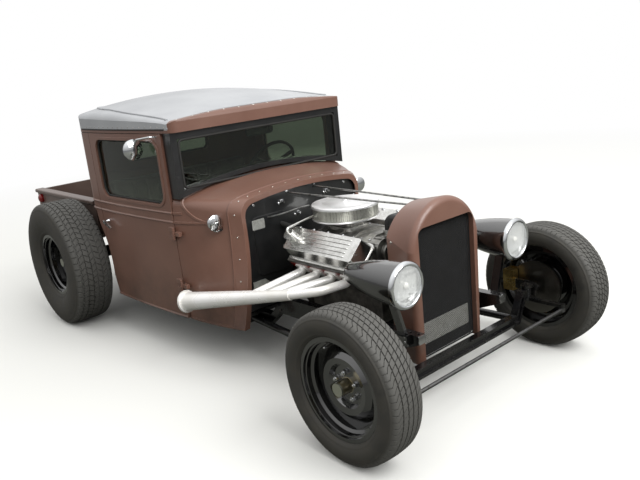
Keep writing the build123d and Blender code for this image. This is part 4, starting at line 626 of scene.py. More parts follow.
def addTacks(work, spots, radius):
    # Domed tack heads at spots given as for fasteners
    for place, outward in spots:
        profile = ((-1, radius), (0.6, radius), (radius * 0.45, radius * 0.75), (radius * 0.6, 0))
        addTurned(work, profile, place, outward, 12)


def addPrism(work, corners, push, material=0):
    # A flat outline pushed along a vector into a closed block
    first = [work.verts.new(corner) for corner in corners]
    second = [work.verts.new(Vector(corner) + Vector(push)) for corner in corners]
    faces = [work.faces.new(first[::-1]), work.faces.new(second)]
    for index in range(len(corners)):
        following = (index + 1) % len(corners)
        faces.append(work.faces.new((first[index], first[following], second[following], second[index])))
    for face in faces:
        face.material_index = material


def addBand(work, outer, inner, push):
    # A flat band between two outlines with as many corners, pushed along a vector
    for index in range(len(outer)):
        following = (index + 1) % len(outer)
        addPrism(work, [outer[index], outer[following], inner[following], inner[index]], push)


def addWelt(name, places, radiusMm, finish, body="chassis", closed=False):
    # Piping, rubber seal or pipe: a round section along smooth points
    curve = bpy.data.curves.new(name, "CURVE")
    curve.dimensions = "3D"
    curve.bevel_depth = radiusMm / 1000
    curve.bevel_resolution = 2
    curve.use_fill_caps = not closed
    spline = curve.splines.new("NURBS")
    spline.points.add(len(places) - 1)
    for point, place in zip(spline.points, places):
        point.co = (*place, 1)
    spline.use_cyclic_u = closed
    spline.use_endpoint_u = not closed
    spline.order_u = 3
    spline.resolution_u = 4
    return finishPiece(name, curve, finish, body)


def roundedRectangle(low, high, radius, perCorner=5):
    # Points round a rectangle with round corners, as pairs of the plane's two coordinates
    points = []
    for cornerX, cornerZ, start in (
        (high[0] - radius, high[1] - radius, 0), (low[0] + radius, high[1] - radius, 90),
        (low[0] + radius, low[1] + radius, 180), (high[0] - radius, low[1] + radius, 270),
    ):
        for step in range(perCorner + 1):
            angle = math.radians(start + 90 * step / perCorner)
            points.append((cornerX + radius * math.cos(angle), cornerZ + radius * math.sin(angle)))
    return points


def insetRectangle(values, inset, radius):
    # The outline of a plate given as low and high y and z, moved in by inset
    low, high, bottom, top = values
    return roundedRectangle((low + inset, bottom + inset), (high - inset, top - inset), radius, 3)


def arcPoints(first, middle, last, steps):
    # Points along the arc through three points, both ends included
    (ax, ay), (bx, by), (cx, cy) = first, middle, last
    twice = 2 * (ax * (by - cy) + bx * (cy - ay) + cx * (ay - by))
    a, b, c = ax * ax + ay * ay, bx * bx + by * by, cx * cx + cy * cy
    centreX = (a * (by - cy) + b * (cy - ay) + c * (ay - by)) / twice
    centreY = (a * (cx - bx) + b * (ax - cx) + c * (bx - ax)) / twice
    start, via, end = (math.atan2(y - centreY, x - centreX) for x, y in (first, middle, last))
    sweep, half = (end - start) % (2 * math.pi), (via - start) % (2 * math.pi)
    if half > sweep:
        sweep -= 2 * math.pi
    radius = math.hypot(ax - centreX, ay - centreY)
    angles = [start + sweep * step / steps for step in range(steps + 1)]
    return [(centreX + radius * math.cos(angle), centreY + radius * math.sin(angle)) for angle in angles]


# Tyres: moulded carcass with raised rings on the sidewall and a cut tread. Sizes are in millimetres

tyreValues = {
    "front": {
        "radius": 325, "half": 90, "rim": 208, "halfTrack": 717, "hub": frontHub, "pitches": 74,
        "grooves": (13, 40), "grooveWidth": 5.5, "grooveDepth": 7, "sipeDepth": 5, "sipeShare": 0.17,
        "slants": (0.25, 0.5, 0.9), "starts": (0.0, 0.5, 0.15), "zigzag": 0, "rings": ((232, 1.6, 5), (296, 1.4, 3)),
    },
    "rear": {
        "radius": 419, "half": 135, "rim": 195, "halfTrack": 762, "hub": rearHub, "pitches": 66,
        "grooves": (17, 52, 86), "grooveWidth": 8, "grooveDepth": 9, "sipeDepth": 7, "sipeShare": 0.2,
        "slants": (0.3, -0.4, 0.5, 0.6), "starts": (0.0, 0.5, 0.1, 0.6), "zigzag": 3.5,
        "rings": ((222, 2.0, 6), (384, 1.8, 4)),
    },
}


def tyreHalfSection(values, mirrored):
    # From the middle of the tread to the bead. Columns: across, radius, sipe depth, twist in pitches, zigzag share
    half, radius, rim = values["half"], values["radius"], values["rim"]
    halfGroove, sipe = values["grooveWidth"] / 2, values["sipeDepth"]
    edge, shoulder = half * 0.70, (half * 0.88, radius - 22)
    foot, flange, seat = half * 0.72 + 6, rim + 13, half * 0.72
    crown, grooveSlope = 4, 0.8
    rows = []

    def addRib(rib, start, end, zigStart, zigEnd):
        for part in (0, 0.33, 0.67, 1):
            across = start + (end - start) * part
            twist = values["starts"][rib] + values["slants"][rib] * part ** 1.4 * (-1 if mirrored else 1)
            twist += 0.5 if mirrored and rib else 0
            zig = zigStart if part == 0 else zigEnd if part == 1 else 0
            rows.append((across, radius - crown * (across / edge) ** 2, sipe, twist, zig))
        return twist

    start, zig = 0.0, 0
    for rib, groove in enumerate(values["grooves"]):
        twist = addRib(rib, start, groove - halfGroove, zig, 1)
        for across in (groove - halfGroove + grooveSlope, groove + halfGroove - grooveSlope):
            rows.append((across, radius - values["grooveDepth"], 0, twist, 1))
        start, zig = groove + halfGroove, 1
    twist = addRib(len(values["grooves"]), start, edge, 1, 0)
    roundShoulder = arcPoints((edge, radius - crown), (half * 0.82, radius - 10), shoulder, 4)[1:]
    for index, (across, height) in enumerate(roundShoulder):
        rows.append((across, height, 0 if index == 3 else sipe, twist, 0))
    for across, height in arcPoints(shoulder, (half, (flange + radius) / 2), (foot, flange), 44)[1:]:
        lift = sum(rise * max(0.0, min(1.0, 1.5 - abs(height - ring) / wide)) for ring, rise, wide in values["rings"])
        rows.append((across + lift, height, 0, twist, 0))
    return rows + [(seat, flange, 0, twist, 0), (seat, rim + 0.3, 0, twist, 0)]


def buildTyre(end, sideName):
    values, side = tyreValues[end], sides[sideName]
    outer = tyreHalfSection(values, False)
    inner = [(-across, *rest) for across, *rest in tyreHalfSection(values, True)[1:]]
    across, height, sipe, twist, zig = np.array(inner[::-1] + outer).T
    pitches, hub, half, slope = values["pitches"], values["hub"], values["sipeShare"] / 2, 0.03
    # One pitch of the tread: where each column of points stands in it, and whether it lies in the sipe
    columns = [(0.0, 0), (0.5 - half, 0), (0.5 - half + slope, 1), (0.5 + half - slope, 1), (0.5 + half, 0)]
    parts, cuts = np.array(columns * pitches).T
    turns = (np.repeat(np.arange(pitches), len(columns)) + parts)[:, None] + twist[None, :]
    angles = 2 * np.pi * turns / pitches
    wave = 1 - 4 * np.abs(parts - 0.5)
    heights = (height[None, :] - cuts[:, None] * sipe[None, :]) / 1000
    widths = (across[None, :] + values["zigzag"] * wave[:, None] * zig[None, :] * np.sign(across)[None, :]) / 1000
    places = np.stack([
        hub.x + heights * np.sin(angles),
        side * (values["halfTrack"] / 1000 + widths),
        hub.z + heights * np.cos(angles),
    ], axis=-1).reshape(-1, 3)
    count, around = len(across), len(parts)
    column, row = np.meshgrid(np.arange(around), np.arange(count), indexing="ij")
    nextColumn, nextRow = (column + 1) % around, (row + 1) % count
    corners = [column * count + row, nextColumn * count + row, nextColumn * count + nextRow, column * count + nextRow]
    faces = np.stack(corners if side < 0 else corners[::-1], axis=-1).reshape(-1, 4)
    mesh = bpy.data.meshes.new(f"{end}Tyre{sideName.title()}")
    mesh.from_pydata(places.tolist(), [], faces.tolist())
    piece = finishPiece(mesh.name, mesh, f"{end}Rubber", f"wheel_{end}_{sideName}", 30)
    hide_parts(f"tyre_{end}_{sideName}")


for end in tyreValues:
    for sideName in sides:
        buildTyre(end, sideName)
print("tyres built")


# Wheel fittings: five plated nuts on studs, and a rubber valve stem with a plated cap

wheelFittingValues = {
    "front": {"face": 6, "nutCircle": 57, "valveAlong": 10, "valveCircle": 172, "valveAngle": 115},
    "rear": {"face": -10, "nutCircle": 60, "valveAlong": 6, "valveCircle": 158, "valveAngle": 75},
    "nut": ((-3, 10), (2, 12.5), (16, 12.5), (20, 10.25)), "stud": ((18, 6), (27, 6), (28, 5)), "firstNut": 20,
}


def buildWheelFittings(end, sideName):
    values, side, tyre = wheelFittingValues[end], sides[sideName], tyreValues[end]

    def onWheel(circle, along, degrees):
        # A place on a circle about the wheel's axis, along millimetres out from the middle of the tyre
        angle = math.radians(degrees)
        return Vector((
            tyre["hub"].x + circle / 1000 * math.cos(angle), side * (tyre["halfTrack"] + along) / 1000,
            tyre["hub"].z + circle / 1000 * math.sin(angle),
        ))

    work, outward = bmesh.new(), (0, side, 0)
    for nut in range(5):
        place = onWheel(values["nutCircle"], values["face"], 72 * nut + wheelFittingValues["firstNut"])
        addTurned(work, wheelFittingValues["nut"], place, outward, 6)
        addTurned(work, wheelFittingValues["stud"], place, outward, 16)
    foot = onWheel(values["valveCircle"], values["valveAlong"], values["valveAngle"])
    addFasteners(work, "valveStem", [(foot, outward)], 1)
    addFasteners(work, "valveCap", [(foot, outward)])
    name, finish = f"{end}WheelFittings{sideName.title()}", ["nutPlate", f"{end}Rubber"]
    closePiece(work, name, finish, f"wheel_{end}_{sideName}")


for end in tyreValues:
    for sideName in sides:
        buildWheelFittings(end, sideName)
print("wheel fittings built")


# Roof trim: piping round the pad and over the visor, and rows of upholstery tacks

roofTrimValues = {
    "weltRadius": 6.5, "seamX": -1361, "seamRadius": 5, "edgeHeight": 1305, "edgeRadius": 4, "tackRadius": 4.5,
    "weltHeights": ((-1385, 1350), (-1460, 1358), (-1690, 1380), (-1930, 1400), (-2090, 1411), (-2330, 1416)),
    "visorTackStep": 100, "backX": -2330, "backHalfWidth": 480, "tackRise": 13,
}


def roofLoop(heightAt, lift, values):
    # Places and normals round the sides and back of the pad, from the front right round to the front left
    backX, half = values["backX"], values["backHalfWidth"]

    def along(side, places):
        return sideRays(side, [(x, heightAt(x)) for x in places])

    def cornerRay(side, degrees):
        outward = Vector((-math.sin(math.radians(degrees)), side * math.cos(math.radians(degrees)), 0))
        return fromAxle(backX, side * half, heightAt(backX)) + outward * 0.5, -outward

    rays = along(-1, range(-1390, backX - 1, -60)) + [cornerRay(-1, turn) for turn in (20, 45, 70)]
    rays += [(fromAxle(-2900, y, heightAt(backX)), (1, 0, 0)) for y in range(-half, half + 1, 96)]
    rays += [cornerRay(1, turn) for turn in (70, 45, 20)] + along(1, range(backX, -1389, 60))
    return meet("roof_top", rays, lift)


def buildRoofTrim(values):
    back, height = zip(*((-x, z) for x, z in values["weltHeights"]))
    upper = roofLoop(lambda x: float(np.interp(-x, back, height)), 0.002, values)
    addWelt("roofPadWelt", [place for place, _ in upper], values["weltRadius"], "roofVinyl")
    lower = roofLoop(lambda x: values["edgeHeight"], 0.001, values)
    addWelt("roofEdgeWelt", [place for place, _ in lower], values["edgeRadius"], "blackRubber")
    outwards = [Vector((0, -math.cos(angle), math.sin(angle))) for angle in (math.pi * step / 32 for step in range(33))]
    middle = fromAxle(values["seamX"] - 2, 0, 1310)
    seam = meet("roof_top", [(middle + outward * 0.9, -outward) for outward in outwards], 0.001)
    addWelt("visorWelt", [place for place, _ in seam], values["seamRadius"], "roofVinyl")
    work = bmesh.new()
    visor = [(values["seamX"] + 12, y) for y in range(-550, 551, values["visorTackStep"])]
    addTacks(work, meet("roof_rail", downRays(1, visor)), values["tackRadius"])
    sideTacks = roofLoop(lambda x: values["edgeHeight"] + values["tackRise"], 0, values)
    addTacks(work, sideTacks[:-1], values["tackRadius"] * 0.8)
    closePiece(work, "roofTacks", "tackSteel")


buildRoofTrim(roofTrimValues)
print("roof trim built")


# Window seals: rubber channel round each pane, set against the outside of the glass. Each outline has its low
# corner, high corner, corner radius and steps round a corner

sealValues = {
    "radius": 7, "lift": 0.004, "bow": 30, "bowDrop": 18,
    "door": ((-2200, 900), (-1495, 1240), 60, 6),
    "windshield": ((-556, 1000), (556, 1244), 26, 4),
    "rear": ((-306, 1039), (306, 1221), 38, 5),
}


def buildSeal(name, nodeName, rays, values, body="chassis"):
    met = meet(nodeName, rays, values["lift"])
    addWelt(name, [place for place, _ in met], values["radius"], "blackRubber", body, True)


def windshieldHeight(y, z, values):
    # The lower edge of the windshield bows up in the middle
    (_, low), (half, high) = values["windshield"][:2]
    return z if z > (low + high) / 2 else z + values["bow"] * (1 - (y / half) ** 2) - values["bowDrop"]


for sideName, side in sides.items():
    rays = sideRays(side, roundedRectangle(*sealValues["door"]))
    buildSeal(f"doorSeal{sideName.title()}", f"door_glass_{sideName}", rays, sealValues, f"door_{sideName}")
outline = [(y, windshieldHeight(y, z, sealValues)) for y, z in roundedRectangle(*sealValues["windshield"])]
buildSeal("windshieldGasket", "cab_glass", [(start, (-1, 0, 0)) for start in upright(-900, outline)], sealValues)
starts = upright(-2900, roundedRectangle(*sealValues["rear"]))
buildSeal("rearWindowGasket", "cab_glass", [(start, (1, 0, 0)) for start in starts], sealValues)
print("window seals built")


# Firewall: blank data plate, bolt heads, clamps, a breather pipe and a steel throttle rod

firewallValues = {
    "plate": (-358, -276, 737, 791), "frontX": -1063, "flatX": -1069, "plateInset": 6, "rivetRadius": 2.6,
    "bolts": ((405, 340), (410, 480), (408, 640), (402, 780), (330, 870), (100, 905)),
    "clamps": ((-140, 852), (190, 848), (-35, 768)), "clampScrew": (0, -0.024, -0.006),
    "rod": ((-1067, -250, 787), (-1000, -215, 800), (-900, -135, 838), (-872, -110, 842)), "rodRadius": 4,
    "pipe": ((-1069, -160, 733), (-1000, -158, 724), (-860, -152, 707), (-770, -150, 697)), "pipeRadius": 15,
    "bracket": ((-400, 408), (-296, 408), (-296, 440), (-318, 459), (-400, 459)), "bracketX": -1062,
    "lip": ((296, 408), (400, 408), (400, 414), (296, 414)),
}


def buildFirewallFittings(values):
    work = bmesh.new()
    frontX, bracketX, ahead = values["frontX"], values["bracketX"], (1, 0, 0)
    for inset, x, thick, material in ((0, frontX, 0.0015, 1), (3, frontX + 1.5, 0.0008, 2)):
        addPrism(work, upright(x, insetRectangle(values["plate"], inset, 5)), (thick, 0, 0), material)
    inset = values["plateInset"]
    low, high, bottom, top = values["plate"]
    rivets = [(y, z) for z in (bottom + inset, top - inset) for y in (low + inset, high - inset)]
    addTacks(work, [(place, ahead) for place in upright(frontX + 2, rivets)], values["rivetRadius"])
    starts = upright(-600, values["bolts"], -1) + upright(-600, values["bolts"])
    met = meet("firewall", [(start, (-1, 0, 0)) for start in starts])
    addFasteners(work, "washerBolt", [(place, ahead) for place, _ in met])
    for place in upright(values["flatX"], values["clamps"]):
        addFasteners(work, "pipeClamp", [(place, ahead)])
        addFasteners(work, "clampScrew", [(place + Vector(values["clampScrew"]), ahead)])
    for side in (-1, 1):
        addPrism(work, upright(bracketX, values["bracket"], -side), (0.006, 0, 0), 2)
        addPrism(work, upright(bracketX, values["lip"], side), (0.045, 0, 0), 2)
    closePiece(work, "firewallFittings", ["nutPlate", "plateTin", "plateTin"])
    rod, pipe = ([fromAxle(*place) for place in values[key]] for key in ("rod", "pipe"))
    addWelt("throttleRod", rod, values["rodRadius"], "steelRod")
    addWelt("breatherPipe", pipe, values["pipeRadius"], "blackRubber")


buildFirewallFittings(firewallValues)
print("firewall fittings built")


# Grille: gauze of crossed wires in front of a blank pale plate. The real pitch is 3 mm; it is 7 mm here so that it
# shows

grilleValues = {
    "frontX": -76, "backX": -79, "pitch": 7.0, "wire": 1.7, "halfTop": 196, "halfBottom": 193, "top": 827,
    "bottom": 207, "corner": 38, "plateX": -85, "plate": (-192, 172, 267, 369), "sheetX": -89, "wires": 110,
}


def clipLine(place, direction, outline):
    # The part of a line inside a convex outline, as two ends, or nothing
    low, high = -1e9, 1e9
    for (ax, ay), (bx, by) in zip(outline, outline[1:] + outline[:1]):
        normal = (ay - by, bx - ax)
        gap = (place[0] - ax) * normal[0] + (place[1] - ay) * normal[1]
        slope = direction[0] * normal[0] + direction[1] * normal[1]
        if abs(slope) < 1e-9:
            if gap < 0:
                return None
        elif slope > 0:
            low = max(low, -gap / slope)
        else:
            high = min(high, -gap / slope)
    if high - low < 2:
        return None
    return [(place[0] + direction[0] * reach, place[1] + direction[1] * reach) for reach in (low, high)]


def buildGrille(values):
    halfTop, halfBottom, corner, pitch = (values[key] for key in ("halfTop", "halfBottom", "corner", "pitch"))
    top, bottom, half = values["top"], values["bottom"], values["wire"] / 2
    middle = (top + bottom) / 2
    outline = [(-halfBottom, bottom), (halfBottom, bottom)]
    for centreY, start in ((halfTop - corner, 0), (corner - halfTop, 90)):
        for step in range(7):
            angle = math.radians(start + 90 * step / 6)
            outline.append((centreY + corner * math.cos(angle), top - corner + corner * math.sin(angle)))
    work = bmesh.new()
    for layerX, slope in ((values["frontX"], 1), (values["backX"], -1)):
        direction = (math.sqrt(0.5), slope * math.sqrt(0.5))
        for step in range(-values["wires"], values["wires"] + 1):
            place = (-direction[1] * step * pitch, middle + direction[0] * step * pitch)
            ends = clipLine(place, direction, outline)
            if ends:
                (y1, z1), (y2, z2) = ends
                acrossY, acrossZ = -direction[1] * half, direction[0] * half
                square = [fromAxle(layerX, y1 + acrossY, z1 + acrossZ), fromAxle(layerX + half, y1, z1),
                          fromAxle(layerX, y1 - acrossY, z1 - acrossZ), fromAxle(layerX - half, y1, z1)]
                addPrism(work, square, Vector((0, y2 - y1, z2 - z1)) / 1000)
    innerRim = [(y * 0.975, middle + (z - middle) * 0.985) for y, z in outline]
    addBand(work, upright(values["frontX"] + 1, outline), upright(values["frontX"] + 1, innerRim), (-0.005, 0, 0))
    piece = closePiece(work, "grilleGauze", "gauzeWire")
    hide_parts("grille_mesh")

    work = bmesh.new()
    plate, edge, inner = (
        upright(values["plateX"], insetRectangle(values["plate"], inset, radius))
        for inset, radius in ((0, 6), (4, 5), (8, 4))
    )
    addPrism(work, plate, (-0.0015, 0, 0))
    addBand(work, edge, inner, (0.0015, 0, 0))
    closePiece(work, "blankPlate", "plateWhite")

    # A black sheet closes the grille behind the gauze and the plate: painted shade, a dark sheet where there is
    # only the shaded space in front of the radiator
    work = bmesh.new()
    shadeSheet = [(-halfBottom, bottom), (halfBottom, bottom), (halfTop, top - corner),
             (halfTop - corner, top), (corner - halfTop, top), (-halfTop, top - corner)]
    addPrism(work, upright(values["sheetX"], shadeSheet), (-0.001, 0, 0))
    closePiece(work, "grilleShadeSheet", "gauzeWire")


buildGrille(grilleValues)
print("grille built")


# Headlamps: a frosted bulb behind each lens, and bolts under each bucket and on its stand

lampValues = {
    "centre": (39, 395, 650), "bulb": ((0.5, 13.5), (4, 15), (8, 13.5), (12, 8.25), (13.5, 0)),
    "bucketBolts": ((-31, 389.075, 567), (-59, 389.075, 570)), "standBolts": ((-34, 338, 360), (-34, 338, 384)),
}


def buildLampFittings(values):
    work = bmesh.new()
    for side in (-1, 1):
        x, y, z = values["centre"]
        addTurned(work, values["bulb"], fromAxle(x, side * y, z), (1, 0, 0), 20)
    closePiece(work, "headlampBulbs", "bulbGlass")
    work = bmesh.new()
    for side in (-1, 1):
        for key, kind, outward in (
            ("bucketBolts", "standBolt", (0, 0, -1)), ("standBolts", "bracketBolt", (0, side, 0)),
        ):
            addFasteners(work, kind, [(fromAxle(x, side * y, z), outward) for x, y, z in values[key]])
    closePiece(work, "headlampBolts", "nutPlate")


buildLampFittings(lampValues)


# Frame horns: bright end caps, and bolt heads where brackets meet the rails

hornValues = {
    "endX": 25, "cap": (277, 323, 352, 392), "capRadius": 5, "capThick": 0.004,
    "bolts": (
        (-1010, 300), (-950, 300), (-420, 330), (-360, 330), (-2480, 430), (-2420, 430), (-3300, 520), (-1700, 238),
        (-2100, 238),
    ),
}


def buildFrameFittings(values):
    work = bmesh.new()
    for side in (-1, 1):
        outline = insetRectangle(values["cap"], 0, values["capRadius"])
        addPrism(work, upright(values["endX"], outline, side), (values["capThick"], 0, 0))
        met = meet("frame", sideRays(side, values["bolts"]))
        addFasteners(work, "railBolt", [(place, normal) for place, normal in met if abs(normal.y) > 0.9], 1)
    closePiece(work, "frameFittings", ["nutPlate", "boltSteel"])


buildFrameFittings(hornValues)
print("lamp and frame fittings built")


# Engine dressing: screws on the valve covers and bolts along the intake manifold

engineTrimValues = {
    "coverScrews": (-475, -580, -685, -790), "coverY": 250, "intakeBolts": range(-430, -841, -58), "intakeY": 118,
}


def buildEngineTrim(values):
    work = bmesh.new()
    for side in (-1, 1):
        for nodeName, kind, places, y in (
            ("valve_covers", "coverScrew", values["coverScrews"], values["coverY"]),
            ("intake", "manifoldBolt", values["intakeBolts"], values["intakeY"]),
        ):
            addFasteners(work, kind, meet(nodeName, downRays(side, [(x, y) for x in places])))
    closePiece(work, "engineScrews", "nutPlate")


buildEngineTrim(engineTrimValues)
print("engine dressing built")


# Cowl: a pressed bead and dome-headed fasteners along its front band, and fasteners on the grille shell's sides

cowlFastenerValues = {
    "bandX": -1082, "top": (0, 90, 180, 270, 350, 410), "sides": (840, 720, 600, 480, 360), "radius": 4.5,
    "beadX": -1112, "beadRadius": 3.5, "shell": ((-196, 757), (-196, 430), (-190, 300)), "shellGrowth": 1.3,
}


def buildCowlFasteners(values):
    # A raised bead runs round the cowl behind its front edge, as a pressed swage line
    bandX, radius, middle = values["bandX"], values["radius"], fromAxle(values["beadX"], 0, 600)
    angles = [math.radians(degrees) for degrees in range(-28, 209, 4)]
    outwards = [Vector((0, math.cos(angle), math.sin(angle))) for angle in angles]
    bead = meet("cowl", [(middle + outward * 1.2, -outward) for outward in outwards])
    addWelt("cowlBead", [place for place, _ in bead], values["beadRadius"], "brownPrimer")
    work = bmesh.new()
    for side in (-1, 1):
        band = downRays(side, [(bandX, y) for y in values["top"] if side < 0 or y])
        addTacks(work, meet("cowl", band + sideRays(side, [(bandX, z) for z in values["sides"]])), radius)
        addTacks(work, meet("grille_shell", sideRays(side, values["shell"])), radius * values["shellGrowth"])
    closePiece(work, "bodyFasteners", "tackSteel")


buildCowlFasteners(cowlFastenerValues)


# Cab inside: gauges with blank faces in the dash, and the rear-view mirror

dashValues = {
    "height": 886, "gauges": ((300, 44), (210, 30), (390, 30)), "pointerTurn": 130, "pointerHalf": 0.0015,
    "mirror": (-1400, 0, 1218), "mirrorSize": (-95, 95, -26, 26), "mirrorRadius": 22, "mirrorThick": 0.016,
}


def buildCabInside(values):
    work, back = bmesh.new(), (-1, 0, 0)
    for y, radius in values["gauges"]:
        for place, _ in meet("cowl", [(fromAxle(-1900, y, values["height"]), (1, 0, 0))]):
            bezel = ((-1, radius + 4), (5, radius + 4), (8, radius), (3, radius - 2))
            addTurned(work, bezel, place, back, 32)
            addTurned(work, ((2.5, radius - 3), (3.6, radius - 3)), place, back, 32, 1)
            pointer = math.radians(values["pointerTurn"] + radius)
            ahead = Vector((0, math.cos(pointer), math.sin(pointer)))
            sideways = Vector((0, -ahead.z, ahead.y)) * values["pointerHalf"]
            tip = place + Vector((-0.0045, 0, 0))
            addPrism(work, [tip - sideways, tip + sideways, tip + ahead * (radius - 9) / 1000], (-0.001, 0, 0), 2)
    mirrorPlace = fromAxle(*values["mirror"])
    low, high, bottom, top = values["mirrorSize"]
    outline = roundedRectangle((low, bottom), (high, top), values["mirrorRadius"], 5)
    outline = [mirrorPlace + Vector((0, y / 1000, z / 1000)) for y, z in outline]
    addPrism(work, outline, (values["mirrorThick"], 0, 0), 3)
    addFasteners(work, "mirrorStem", [(mirrorPlace + Vector((0.008, 0, 0.02)), (0.35, 0, 1))])
    finishes = ["chromePlate", "gaugeFace", "plateWhite", "blackPlastic"]
    closePiece(work, "cabInstruments", finishes)


buildCabInside(dashValues)
print("cab fittings built")


# Seat: a sprung base under two stuffed leather pads, blown up with cloth pressure and pleated afterwards

seatValues = {
    "halfWidth": 533, "voxelMm": 15, "pressure": 4.0, "stiffness": 20, "bending": 2, "capMm": 12, "frames": 16,
    "pleatEveryMm": 96, "pleatDepthMm": 7, "pleatWidthMm": 9, "borderMm": 50, "borderFadeMm": 20, "baseTop": 402,
    "cushion": ((-1889, 404), (-1889, 500), (-1940, 514), (-2240, 490), (-2300, 486), (-2300, 404)),
    "back": ((-2262, 506), (-2334, 930), (-2356, 952), (-2440, 952), (-2440, 590), (-2320, 560), (-2320, 500)),
}


def bakeModifiers(piece):
    # Puts the mesh as its modifiers leave it in the place of the old one
    bpy.context.view_layer.update()
    graph = bpy.context.evaluated_depsgraph_get()
    shaped = bpy.data.meshes.new_from_object(piece.evaluated_get(graph), depsgraph=graph)
    piece.modifiers.clear()
    piece.data = shaped


def startPad(name, outline, values):
    # A block of the pad's size with an even mesh
    work = bmesh.new()
    addPrism(work, [fromAxle(x, -values["halfWidth"], z) for x, z in outline], (0, 2 * values["halfWidth"] / 1000, 0))
    pad = bpy.data.objects.new(name, closeWork(work, name))
    scene.collection.objects.link(pad)
    remesh = pad.modifiers.new("remesh", "REMESH")
    remesh.mode = "VOXEL"
    remesh.voxel_size = values["voxelMm"] / 1000
    bakeModifiers(pad)
    return pad


def vertexArray(mesh, field="co"):
    numbers = np.empty(len(mesh.vertices) * 3)
    mesh.vertices.foreach_get(field, numbers)
    return numbers.reshape(-1, 3)


def inflate(pads, values):
    for pad in pads:
        cloth = pad.modifiers.new("cloth", "CLOTH")
        cloth.settings.use_pressure = True
        cloth.settings.uniform_pressure_force = values["pressure"]
        cloth.settings.effector_weights.gravity = 0
        cloth.settings.tension_stiffness = cloth.settings.compression_stiffness = values["stiffness"]
        cloth.settings.bending_stiffness = values["bending"]
        cloth.point_cache.frame_end = values["frames"]
    for step in range(1, values["frames"] + 1):
        scene.frame_set(step)
    for pad in pads:
        bakeModifiers(pad)
    scene.frame_set(1)


def buildSeat(values):
    pads = [startPad(name, values[key], values) for name, key in (("seatCushion", "cushion"), ("seatBack", "back"))]
    starts = [vertexArray(pad.data) for pad in pads]
    inflate(pads, values)
    for pad, start in zip(pads, starts):
        moved = vertexArray(pad.data) - start
        length = np.linalg.norm(moved, axis=1, keepdims=True)
        places = start + moved * np.minimum(1, values["capMm"] / 1000 / np.maximum(length, 1e-9))
        pad.data.vertices.foreach_set("co", places.ravel())
        smooth = pad.modifiers.new("smooth", "SMOOTH")
        smooth.iterations, smooth.factor = 6, 0.6
        subdivide = pad.modifiers.new("subdivide", "SUBSURF")
        subdivide.levels = subdivide.render_levels = 1
        bakeModifiers(pad)
        places, normals = vertexArray(pad.data), vertexArray(pad.data, "normal")
        # Pleats run front to back and up the back, and fade out towards the ends
        step = values["pleatEveryMm"] / 1000
        fromSeam = np.abs((places[:, 1] + step / 2) % step - step / 2)
        depth = values["pleatDepthMm"] / 1000 * np.exp(-(fromSeam / (values["pleatWidthMm"] / 1000)) ** 2)
        facing = np.clip(normals[:, 2] * 1.2 if pad.name == "seatCushion" else normals[:, 0] * 1.4, 0, 1)
        inside = (values["halfWidth"] - values["borderMm"]) / 1000 - np.abs(places[:, 1])
        border = np.clip(inside / (values["borderFadeMm"] / 1000), 0, 1)
        places -= normals * (depth * facing * border)[:, None]
        pad.data.vertices.foreach_set("co", places.ravel())
        pad.data.update()
        pad.data.materials.clear()
        pad.data.materials.append(materials["seatLeather"])
        pad.data.shade_smooth()
        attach(pad, "chassis")
        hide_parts("seat")
    work = bmesh.new()
    work.from_mesh(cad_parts["seat"].data)
    cut = bmesh.ops.bisect_plane(
        work, geom=work.verts[:] + work.edges[:] + work.faces[:], plane_co=(0, 0, values["baseTop"] / 1000),
        plane_no=(0, 0, 1), clear_outer=True,
    )
    edges = [item for item in cut["geom_cut"] if isinstance(item, bmesh.types.BMEdge)]
    bmesh.ops.triangle_fill(work, edges=edges, use_beauty=True)
    base = closePiece(work, "seatBase", "blackPlastic")
    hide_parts("seat")


buildSeat(seatValues)
print("seat built")


# Studio: a pale floor, soft light and the camera of the photograph. The large soft lamps are a key from straight
# ahead, high up, and a low fill from behind on the left, each with its place, size and watts

studioValues = {
    "floorSize": 160.0, "horizonLight": 0.12, "zenithLight": 1.5, "mirrorHorizon": 0.3, "mirrorZenith": 1.4,
    "lamps": {"keyLamp": ((6.5, 0.5, 5.5), 5.0, 520.0), "fillLamp": ((-3.5, 5.0, 3.5), 5.0, 25.0)},
    "aim": (0.3, 0, 0.6),
}


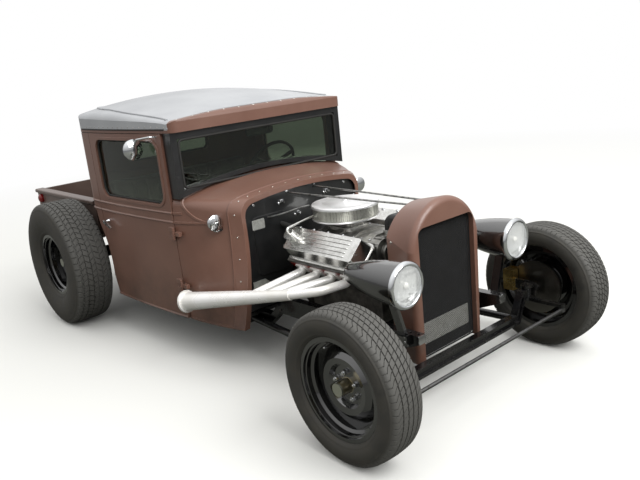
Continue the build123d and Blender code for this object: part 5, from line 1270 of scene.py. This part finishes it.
def buildStudio(values):
    floorMesh = bpy.data.meshes.new("studioFloor")
    half = values["floorSize"] / 2
    corners = [(-half, -half, 0), (half, -half, 0), (half, half, 0), (-half, half, 0)]
    floorMesh.from_pydata(corners, [], [(0, 1, 2, 3)])
    floor = bpy.data.objects.new("studioFloor", floorMesh)
    scene.collection.objects.link(floor)
    floorMesh.materials.append(studioPaper("StudioPaper"))

    world = bpy.data.worlds.new("studioWorld")
    scene.world = world
    world.use_nodes = True
    tree = world.node_tree
    tree.nodes.clear()
    # White to the camera and through glass. Everything else is lit from a dim horizon under a bright sky, so that
    # the sides stay darker than the tops, and mirrors see the same in paler tones
    rays = addNode(tree, "LightPath", {}).outputs
    height = ranged(axisPlace(addNode(tree, "TexCoord", {}).outputs["Generated"], "Z"), -0.1, 0.9)
    lit = mixedValue(height, values["horizonLight"], values["zenithLight"])
    mirrored = mixedValue(height, values["mirrorHorizon"], values["mirrorZenith"])
    around = mixedValue(rays["Is Glossy Ray"], lit, mirrored)
    eitherRay = {"operation": "MAXIMUM", 0: rays["Is Camera Ray"], 1: rays["Is Transmission Ray"]}
    seen = addNode(tree, "Math", eitherRay).outputs[0]
    sky = addNode(tree, "Background", {"Color": "#FFFFFF", "Strength": mixedValue(seen, around, 1.0)})
    addNode(tree, "OutputWorld", {"Surface": sky.outputs[0]})

    for name, (place, size, watts) in values["lamps"].items():
        lamp = bpy.data.objects.new(name, bpy.data.lights.new(name, "AREA"))
        lamp.data.shape = "SQUARE"
        lamp.data.size = size
        lamp.data.energy = watts
        lamp.location = place
        lamp.rotation_euler = (Vector(values["aim"]) - Vector(place)).to_track_quat("-Z", "Y").to_euler()
        scene.collection.objects.link(lamp)


cameraValues = {
    "fromFrontAxle": (1.8624, -2.3543, 1.5857), "azimuth": 50.015, "elevation": 14.866, "roll": -5.916,
    "focalPixels": 682.44, "framePixels": 640, "sensorMm": 36,
}


def buildCamera(values):
    azimuth, elevation, roll = (math.radians(values[key]) for key in ("azimuth", "elevation", "roll"))
    level = math.cos(elevation)
    back = Vector((math.sin(azimuth) * level, -math.cos(azimuth) * level, math.sin(elevation)))
    right = (-back).cross(Vector((0, 0, 1))).normalized()
    up = right.cross(-back)
    rolledRight = right * math.cos(roll) + up * math.sin(roll)
    rolledUp = up * math.cos(roll) - right * math.sin(roll)
    data = bpy.data.cameras.new("photoCamera")
    data.sensor_width = values["sensorMm"]
    data.lens = values["focalPixels"] * values["sensorMm"] / values["framePixels"]
    camera = bpy.data.objects.new("photoCamera", data)
    turn = Matrix((rolledRight, rolledUp, back)).transposed().to_4x4()
    camera.matrix_world = Matrix.Translation(Vector(values["fromFrontAxle"]) + Vector((frontHub.x, 0, 0))) @ turn
    scene.collection.objects.link(camera)
    scene.camera = camera


buildStudio(studioValues)
buildCamera(cameraValues)
scene.view_settings.view_transform = "Standard"
print("studio and camera built")
